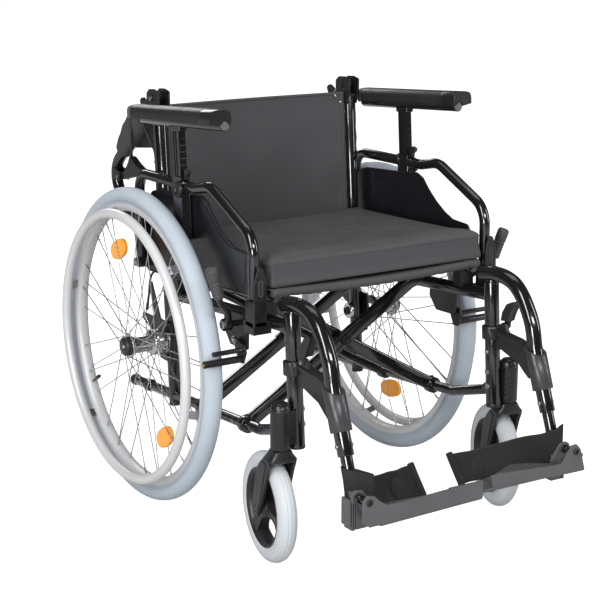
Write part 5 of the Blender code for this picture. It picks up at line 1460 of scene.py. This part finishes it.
def build_brace_arm(name, foot_side, step):
    """Two rounded rectangular bars from a lower tube to the seat rail of the other side."""
    low_x, high_x = foot_side * FRAME_X, -foot_side * FRAME_X
    section = ringed(mm((-8, -13), (8, -13), (8, 13), (-8, 13)), 0.0045, 5)
    bars, fittings, screws = [], [], []
    forward_axis = np.array([0, -math.cos(TILT), math.sin(TILT)])
    for u in ARM_U:
        low = np.array((low_x, *side_point(u + step, 0)))
        high = np.array((high_x, *side_point(u + step, RAIL_V)))
        path = low + np.linspace(0.0, 0.992, 14)[:, None] * (high - low)
        bars.append(sweep(path, 1.0, over=forward_axis, rim=0, section=section))
        bars.append(bar((low_x, *side_point(u + step - 0.009, 0)),
            (low_x, *side_point(u + step + 0.009, 0)), 0.016, 32, 0.0015))
        bulge = low + np.array([0.4, 0.6])[:, None] * (high - low)
        fittings.append(sweep(bulge, 1.0, over=forward_axis, rim=0, section=section * (0.9, 1.1)))
        front = math.copysign(0.008, step)
        fittings.append(bar((0, *side_point(u + step + front * 0.9, RAIL_V / 2)), (0,
            *side_point(u + step + front * 1.6, RAIL_V / 2)), 0.01, 28, 0.001))
        end = u + step + math.copysign(0.013, step)
        out = end + math.copysign(0.0035, step)
        screws.append(bar((0, *side_point(end - math.copysign(0.002, step), RAIL_V / 2)),
            (0, *side_point(out, RAIL_V / 2)), 0.0062, 6, 0.0006))
        screws.append(bar((low_x, *side_point(u + step, 0.015)), (low_x, *side_point(u + step, 0.0182)),
            0.004, 18))
    bars.append(bar((high_x, *side_point(0.03, RAIL_V)), (high_x, *side_point(0.4, RAIL_V)), RAIL_RADIUS,
        28, 0.001))
    make(f"{name}_bars", bars, "gloss_powder_coat", name, name, sharp=50)
    make(f"{name}_bosses", fittings, "satin_black_metal", name, slot="frame_paint", bevel=0.0006)
    make(f"{name}_screws", screws, "satin_black_metal", name, slot="steel")


class WheelchairCrossBrace(bpy.types.Operator):
    """The double scissor brace and its seat rails"""

    bl_idname = "wheelchair.cross_brace"
    bl_label = "Cross brace"

    def execute(self, context):
        build_brace_arm("cross_arm_a", -1, ARM_STEP)
        build_brace_arm("cross_arm_b", 1, -ARM_STEP)
        return {"FINISHED"}


def stitches(path, normal, length, gap):
    """A row of stitches: short rods set end to end along a path, each just proud of the cloth."""
    run = np.concatenate([[0], np.cumsum(np.linalg.norm(np.diff(path, axis=0), axis=1))])
    starts = np.arange(gap, run[-1] - length, length + gap)
    first = np.stack([np.interp(starts, run, path[:, k]) for k in range(3)], 1) + np.asarray(normal)
    last = np.stack([np.interp(starts + length, run, path[:, k]) for k in range(3)], 1) + np.asarray(normal)
    return rods(first, last, 0.0004, 6)


def build_seat_sling():
    """Cloth that lies over both rails and sags between them: a parabola across, with small pulls."""
    u = np.linspace(0.03, 0.402, 60)
    x = np.linspace(-0.2285, 0.2285, 90)
    grid_u, grid_x = np.meshgrid(u, x, indexing="ij")
    inside = np.clip(1 - (grid_x / 0.195) ** 2, 0, None)
    pull = 0.0012 * np.sin(grid_u * 90) * np.exp(-((np.abs(grid_x) - 0.19) / 0.02) ** 2)
    v = SEAT_V - 0.0015 - 0.0045 * inside + np.minimum(pull, 0)
    c, s = math.cos(TILT), math.sin(TILT)
    points = np.stack([grid_x, CORNER[0] - grid_u * c + v * s, CORNER[1] + grid_u * s + v * c], -1)
    piece = make("sling_seat", [lattice(points)], "seat_cloth", "cross_arm_b", "seat_sling")
    thicken(piece, 0.0026)
    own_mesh(piece)
    across = np.linspace(-0.226, 0.226, 60)
    sag = np.clip(1 - (across / 0.195) ** 2, 0, None)
    dip = SEAT_V - 0.0075 - 0.0045 * sag + 0.0006 * np.sin(across * 260)
    edge = np.array([(a, *side_point(0.404, b)) for a, b in zip(across, dip)])
    hem = make("sling_front_hem", [sweep(edge, 0.0076, 20, (0, 0, 1), rim=0.003)], "seat_cloth",
        "cross_arm_b")
    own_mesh(hem)


def build_cushion(sizes):
    """A rounded box: the nearest point of a smaller box, pushed out by the edge radius. Its sides draw in
    between the corners, its top is crowned and its bottom is flat."""
    half, edge = np.array(CUSHION_HALF), CUSHION_EDGE
    middle = tilted(1, (0.0135 + 0.412) / 2, SEAT_V + 0.0006 + half[2], 0)
    flat = middle @ np.diag([1.0, -1.0, 1.0, 1.0])
    n = 61
    t = np.linspace(-1, 1, n)
    a, b = np.meshgrid(t, t, indexing="ij")
    one = np.ones_like(a)
    patches = []
    for faces in ((a, b, one), (b, a, -one), (one, a, b), (-one, b, a), (b, one, a), (a, -one, b)):
        p = np.stack(faces, -1) * half
        core = np.clip(p, -(half - edge), half - edge)
        p = core + edge * unit(p - core)
        q = p / half
        p[..., 0] *= 1 - 0.01 * (1 - q[..., 2] ** 2) - 0.008 * (1 - q[..., 1] ** 2)
        p[..., 1] *= 1 - 0.01 * (1 - q[..., 2] ** 2) - 0.008 * (1 - q[..., 0] ** 2)
        top = np.clip(q[..., 2], 0, 1)
        rearward = q[..., 1] * np.sign(flat[1, 1])
        left = np.clip(q[..., 0], 0, 1)
        p[..., 0] += 0.008 * left * np.clip((-rearward - 0.86) / 0.14, 0, 1)
        p[..., 2] += top * (0.0115 * (0.5 + 0.5 * rearward) ** 1.2 + 0.0035 * left)
        crown = 0.002 * (1 - q[..., 0] ** 4) * (1 - q[..., 1] ** 4)
        hollow = 0.0045 * np.exp(-((q[..., 0] / 0.55) ** 2 + ((q[..., 1] + 0.05) / 0.6) ** 2))
        p[..., 2] += top * (crown - hollow)
        patches.append(lattice(p))
    patches = [(placed(p[0], flat), *p[1:]) for p in patches]
    piece = make("cushion_cover", patches, "seat_cloth", "cross_arm_b", "seat_cushion", sharp=80)
    puff(piece, sizes.cushion_puff)
    unwrap(piece)
    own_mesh(piece)
    tree = BVHTree.FromObject(piece, bpy.context.evaluated_depsgraph_get())
    seams = []
    for height in (SEAM_HEIGHT, -SEAM_HEIGHT):
        outline = ringed(mm((-230, -197.5), (230, -197.5), (230, 197.5), (-230, 197.5)), 0.018, 8)
        dense = resampled(outline, 260)
        line = placed(np.c_[dense * 1.01, np.full(len(dense), height)], flat) + (0, SHIFT_Y, 0)
        near = np.array([tuple(tree.find_nearest(Vector(p))[0]) for p in line]) - (0, SHIFT_Y, 0)
        seams.append(sweep(near, 0.0011, 8, (0, 0, 1), loop=True))
    seam = make("cushion_seams", seams, "seat_cloth", "cross_arm_b")
    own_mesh(seam)


def unwrap(piece):
    """Each loop's UV is its place in metres on the plane that its face looks along most."""
    mesh = piece.data
    count = len(mesh.loops)
    corner = np.empty(count, np.int32)
    mesh.loops.foreach_get("vertex_index", corner)
    co = np.empty(len(mesh.vertices) * 3, np.float32)
    mesh.vertices.foreach_get("co", co)
    normal = np.empty(len(mesh.polygons) * 3, np.float32)
    mesh.polygons.foreach_get("normal", normal)
    totals = np.empty(len(mesh.polygons), np.int32)
    mesh.polygons.foreach_get("loop_total", totals)
    axis = np.repeat(np.abs(normal.reshape(-1, 3)).argmax(1), totals)
    spot = co.reshape(-1, 3)[corner]
    uv = np.where((axis == 2)[:, None], spot[:, :2], np.where((axis == 1)[:, None], spot[:, [0, 2]],
        spot[:, 1:]))
    layer = mesh.uv_layers.get("UVMap") or mesh.uv_layers.new(name="UVMap")
    layer.data.foreach_set("uv", uv.astype(np.float32).ravel())


class WheelchairSeat(bpy.types.Operator):
    """Seat sling with its rolled front edge, and the padded cushion"""

    bl_idname = "wheelchair.seat"
    bl_label = "Seat"

    def execute(self, context):
        sizes = context.scene.wheelchair_sizes
        build_seat_sling()
        build_cushion(sizes)
        return {"FINISHED"}


def resampled(outline, count):
    """A closed outline with evenly spaced points."""
    closed = np.concatenate([outline, outline[:1]])
    run = np.concatenate([[0], np.cumsum(np.linalg.norm(np.diff(closed, axis=0), axis=1))])
    at = np.linspace(0, run[-1], count, endpoint=False)
    return np.stack([np.interp(at, run, closed[:, k]) for k in range(closed.shape[1])], 1)


def puff(piece, cap):
    """Swells a cover with cloth under pressure. No point moves further than the cap."""
    scene = bpy.context.scene
    mesh = piece.data
    remesh = piece.modifiers.new("even", "REMESH")
    remesh.mode = "VOXEL"
    remesh.voxel_size = 0.006
    bpy.context.view_layer.update()
    even = bpy.data.meshes.new_from_object(piece.evaluated_get(bpy.context.evaluated_depsgraph_get()))
    piece.modifiers.clear()
    piece.data = even
    count = len(even.vertices)
    rest = np.empty(count * 3, np.float32)
    even.vertices.foreach_get("co", rest)
    rest = rest.reshape(-1, 3)
    group = piece.vertex_groups.new(name="held")
    level = rest[:, 2] + rest[:, 1] * math.tan(TILT)
    held = np.flatnonzero(level < level.min() + 0.004)
    group.add([int(k) for k in held], 1.0, "REPLACE")
    cloth = piece.modifiers.new("cloth", "CLOTH")
    settings = {"quality": 6, "mass": 0.3, "tension_stiffness": 12, "compression_stiffness": 12,
        "bending_stiffness": 1.2, "use_pressure": True, "uniform_pressure_force": 4,
        "vertex_group_mass": "held"}
    for name, value in settings.items():
        setattr(cloth.settings, name, value)
    cloth.settings.effector_weights.gravity = 0
    cloth.collision_settings.use_collision = False
    for number in range(1, 21):
        scene.frame_set(number)
    swollen = bpy.data.meshes.new_from_object(piece.evaluated_get(bpy.context.evaluated_depsgraph_get()))
    scene.frame_set(1)
    piece.modifiers.clear()
    moved = np.empty(count * 3, np.float32)
    swollen.vertices.foreach_get("co", moved)
    step = moved.reshape(-1, 3) - rest
    size = np.linalg.norm(step, axis=1, keepdims=True)
    step *= np.minimum(1, cap / np.maximum(size, 1e-9))
    swollen.vertices.foreach_set("co", (rest + step).astype(np.float32).ravel())
    piece.data = swollen
    swollen.name = mesh.name
    swollen.materials.clear()
    swollen.materials.append(mesh.materials[0])
    swollen.shade_smooth()


def build_back_sling(stitch):
    """Cloth stretched between the canes: it bows back as a parabola and has faint pulls near the hems."""
    half = FRAME_X - 0.0127
    v = np.linspace(0.3, 0.565, 56)
    x = np.linspace(-half, half, 110)
    grid_v, grid_x = np.meshgrid(v, x, indexing="ij")
    bow = 0.022 * (1 - (grid_x / half) ** 2)
    edge = np.exp(-((half - np.abs(grid_x)) / 0.035) ** 2)
    pull = 0.0016 * np.sin(grid_v * 70 + 2 * grid_x) * edge
    pull += 0.0012 * np.sin(grid_v * 22 + 9 * grid_x) * (1 - edge)
    depth = bow + pull * np.clip((half - np.abs(grid_x)) / 0.01, 0, 1)
    c, s = math.cos(TILT), math.sin(TILT)
    points = np.stack([grid_x, CORNER[0] + depth * c + grid_v * s, CORNER[1] - depth * s + grid_v * c], -1)
    piece = make("back_panel", [lattice(points)], "seat_cloth", "right_frame", "back_sling")
    thicken(piece, 0.003)
    trims, threads = [], []
    trims.append(sweep(points[-1], 0.0034, 14, (0, 0, 1), rim=0.002))
    for side in (-1, 1):
        for inset, width in ((0.0, 0), (0.012, 1)):
            column = int(round((side * (half - inset - 0.004) + half) / (2 * half) * 109))
            line = points[:, column]
            if width:
                threads.append(stitches(line, (0, -0.0019, 0), stitch, 0.0022))
                threads.append(stitches(line + (side * 0.006, 0, 0), (0, -0.0019, 0), stitch, 0.0022))
            else:
                trims.append(sweep(line, 0.0036, 12, (1, 0, 0), rim=0.002))
    hems = make("back_hems", trims, "seat_cloth", "right_frame")
    sewn = make("back_stitches", threads, "thread", "right_frame", sharp=80)
    for part in (piece, hems, sewn):
        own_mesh(part)
    for side, tag in SIDES:
        a = np.radians(np.linspace(-12, 192, 33))
        low, high = np.array(on_frame(side, 0, 0.305)), np.array(on_frame(side, 0, 0.545))
        rise = np.linspace(0, 1, 40)[:, None, None]
        rearward = np.array([0, math.cos(TILT), -math.sin(TILT)])
        ring = np.cos(a)[:, None] * np.array([1.0, 0, 0]) + np.sin(a)[:, None] * rearward
        fold = 0.0132 + 0.0007 * np.sin(rise * 38 + 2 * np.sin(a)[None, :, None]) * np.sin(math.pi * rise)
        sleeve = low + rise * (high - low) + ring[None] * fold
        heads = [turned(mm((0, 2.6), (2.2, 2.6), (3.2, 1.8), (3.6, 0), (0, 0)),
            aimed((side * a, b, c), (side * a, b - 0.01, c)), 18) for a, b, c in ((0.186, 0.0335, 0.751),
            (0.197, 0.0315, 0.738), (0.203, 0.029, 0.7185))]
        sided(tag, "back_studs", heads, "bright_zinc", "frame")
        cuff = sided(tag, "back_sleeve", [lattice(sleeve)], "seat_cloth", "frame")
        thicken(cuff, 0.0012, 1.0)


def build_flap():
    """Cloth between the folded upper canes: it hangs in a shallow bow and loops round each cane."""
    half = FRAME_X - 0.0125
    s = np.linspace(0.0815, 0.186, 40)
    x = np.linspace(-half, half, 90)
    grid_s, grid_x = np.meshgrid(s, x, indexing="ij")
    depth = 0.0025 - 0.012 * (1 - (grid_x / half) ** 2) + 0.0012 * np.sin(grid_s * 80 + 6 * grid_x)
    a, b = CANE_DIRECTION
    points = np.stack([grid_x, HINGE[0] + grid_s * a - depth * b, HINGE[1] + grid_s * b + depth * a], -1)
    piece = make("flap_panel", [lattice(points)], "seat_cloth", "right_upper_cane", "back_flap")
    thicken(piece, 0.0026)
    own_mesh(piece)
    for side, tag in SIDES:
        along = np.linspace(0.0765, 0.191, 30)
        share = (along - along[0]) / (along[-1] - along[0])
        turn = np.linspace(0, math.tau, 37)[:-1]
        lift = 0.0035 + 0.0085 * np.sin(math.pi * share**0.8) + 0.0006 * np.sin(share * 23)
        rows = []
        for k in range(len(along)):
            across = lift[k] + (0.0158 + lift[k]) * np.sin(turn)
            spot_y, spot_z = cane_point(along[k], across)
            rows.append(np.stack([side * FRAME_X + 0.0164 * np.cos(turn), spot_y, spot_z], 1))
        sided(tag, "flap_loop", [loft(np.array(rows))], "seat_cloth", "upper_cane", sharp=55)


class WheelchairBack(bpy.types.Operator):
    """Back sling with hems and cane sleeves, and the folded flap"""

    bl_idname = "wheelchair.back"
    bl_label = "Back"

    def execute(self, context):
        stitch = context.scene.wheelchair_sizes.stitch
        build_back_sling(stitch)
        build_flap()
        return {"FINISHED"}


def rays_seen(wires):
    """One where a camera or transmission ray arrives, and one where a glossy ray does."""
    path = wires.add("LightPath")
    return wires.calc("MAXIMUM", path["Is Camera Ray"], path["Is Transmission Ray"]), path["Is Glossy Ray"]


def build_floor(scene):
    """A pale floor, white to the camera and grey to all other rays."""
    mesh = bpy.data.meshes.new("floor")
    mesh.from_pydata([(-9, -9, 0), (9, -9, 0), (9, 9, 0), (-9, 9, 0)], [], [(0, 1, 2, 3)])
    ground = bpy.data.objects.new("floor", mesh)
    scene.collection.objects.link(ground)
    material = bpy.data.materials.new("pale_floor")
    material.use_nodes = True
    tree = material.node_tree
    tree.nodes.clear()
    wires = Wires(tree)
    plain = wires.add("BsdfDiffuse", {"Color": (0.5, 0.5, 0.5, 1.0)})[0]
    lit = wires.add("BsdfDiffuse", {"Color": (0.42, 0.42, 0.42, 1.0)})[0]
    glow = wires.add("Emission", {"Color": (1, 1, 1, 1), "Strength": 0.9})[0]
    both = wires.add("AddShader", {0: lit, 1: glow})[0]
    mix = wires.add("MixShader", {0: rays_seen(wires)[0], 1: plain, 2: both})[0]
    wires.add("OutputMaterial", {"Surface": mix})
    mesh.materials.append(material)


def build_world(scene):
    """A white surrounding, dimmer for light that falls on the chair and for its reflections."""
    world = bpy.data.worlds.new("studio")
    scene.world = world
    world.use_nodes = True
    tree = world.node_tree
    tree.nodes.clear()
    wires = Wires(tree)
    direct, glossy = rays_seen(wires)
    plain = wires.calc("SUBTRACT", 0.62, wires.calc("MULTIPLY", glossy, 0.55))
    strength = wires.calc("MAXIMUM", plain, direct)
    sky = wires.add("Background", {"Color": (1, 1, 1, 1), "Strength": strength})[0]
    wires.add("OutputWorld", {"Surface": sky})


# Name, place, target, size in metres and power in watts.
LAMPS = (
    ("key_lamp", (-2.6, -1.4, 2.2), (0, 0, 0.4), (0.7, 2.2), 64),
    ("fill_lamp", (2.6, -2.0, 1.6), (0, 0, 0.4), (0.6, 2.0), 30),
    ("front_lamp", (-0.6, -3.6, 2.2), (0, 0, 0.3), (1.8, 0.6), 60),
    ("low_lamp", (-2.9, -2.5, 0.75), (0.2, 0, 0.25), (1.0, 0.7), 46),
    ("top_lamp", (0.2, 0.4, 3.2), (0, 0, 0.3), (2.4, 1.4), 14),
    ("back_lamp", (0.6, 3.0, 1.8), (0, 0, 0.4), (1.6, 1.0), 20),
)


class WheelchairStage(bpy.types.Operator):
    """Floor, lamps, world and camera"""

    bl_idname = "wheelchair.stage"
    bl_label = "Stage"

    def execute(self, context):
        scene = context.scene
        scene.view_settings.view_transform = "Standard"
        build_floor(scene)
        build_world(scene)
        for name, spot, target, size, power in LAMPS:
            lamp = bpy.data.lights.new(name, "AREA")
            lamp.shape = "RECTANGLE"
            lamp.size, lamp.size_y = size
            lamp.energy = power
            holder = bpy.data.objects.new(name, lamp)
            holder.location = spot
            holder.rotation_euler = (Vector(target) - Vector(spot)).to_track_quat("-Z", "Y").to_euler()
            scene.collection.objects.link(holder)
        view = bpy.data.cameras.new("camera")
        view.lens = CAMERA_LENS
        view.sensor_width = 36
        view.clip_end = 50
        camera = bpy.data.objects.new("camera", view)
        camera.location = CAMERA_SPOT
        aim = Euler((math.radians(CAMERA_PITCH), 0, math.radians(CAMERA_HEADING))).to_matrix().to_4x4()
        camera.rotation_euler = (aim @ Matrix.Rotation(math.radians(CAMERA_ROLL), 4, "Z")).to_euler()
        scene.collection.objects.link(camera)
        scene.camera = camera
        return {"FINISHED"}


STEPS = (WheelchairStage, WheelchairFinishes, WheelchairRearWheels, WheelchairCasters, WheelchairSideFrames,
    WheelchairArmrests, WheelchairHangers, WheelchairBrakes, WheelchairCanes, WheelchairCrossBrace,
    WheelchairSeat, WheelchairBack)


class WheelchairPanel(bpy.types.Panel):
    """Lists the steps of the build"""

    bl_idname = "VIEW3D_PT_wheelchair"
    bl_label = "Wheelchair"
    bl_space_type = "VIEW_3D"
    bl_region_type = "UI"
    bl_category = "Wheelchair"

    def draw(self, context):
        column = self.layout.column()
        for name in ("frame", "tyre", "caster", "cloth", "reflector"):
            column.prop(context.scene.wheelchair_colours, name)
        for name in ("spokes", "spoke_radius", "cushion_puff", "stitch"):
            column.prop(context.scene.wheelchair_sizes, name)
        for step in STEPS:
            column.operator(step.bl_idname)


CLASSES = (WheelchairColours, WheelchairSizes, *STEPS, WheelchairPanel)


def register():
    for entry in CLASSES:
        bpy.utils.register_class(entry)
    bpy.types.Scene.wheelchair_colours = bpy.props.PointerProperty(type=WheelchairColours)
    bpy.types.Scene.wheelchair_sizes = bpy.props.PointerProperty(type=WheelchairSizes)


def unregister():
    del bpy.types.Scene.wheelchair_sizes
    del bpy.types.Scene.wheelchair_colours
    for entry in reversed(CLASSES):
        bpy.utils.unregister_class(entry)


def main():
    register()
    for step in STEPS:
        group, name = step.bl_idname.split(".")
        getattr(getattr(bpy.ops, group), name)()


if __name__ == "__main__":
    main()
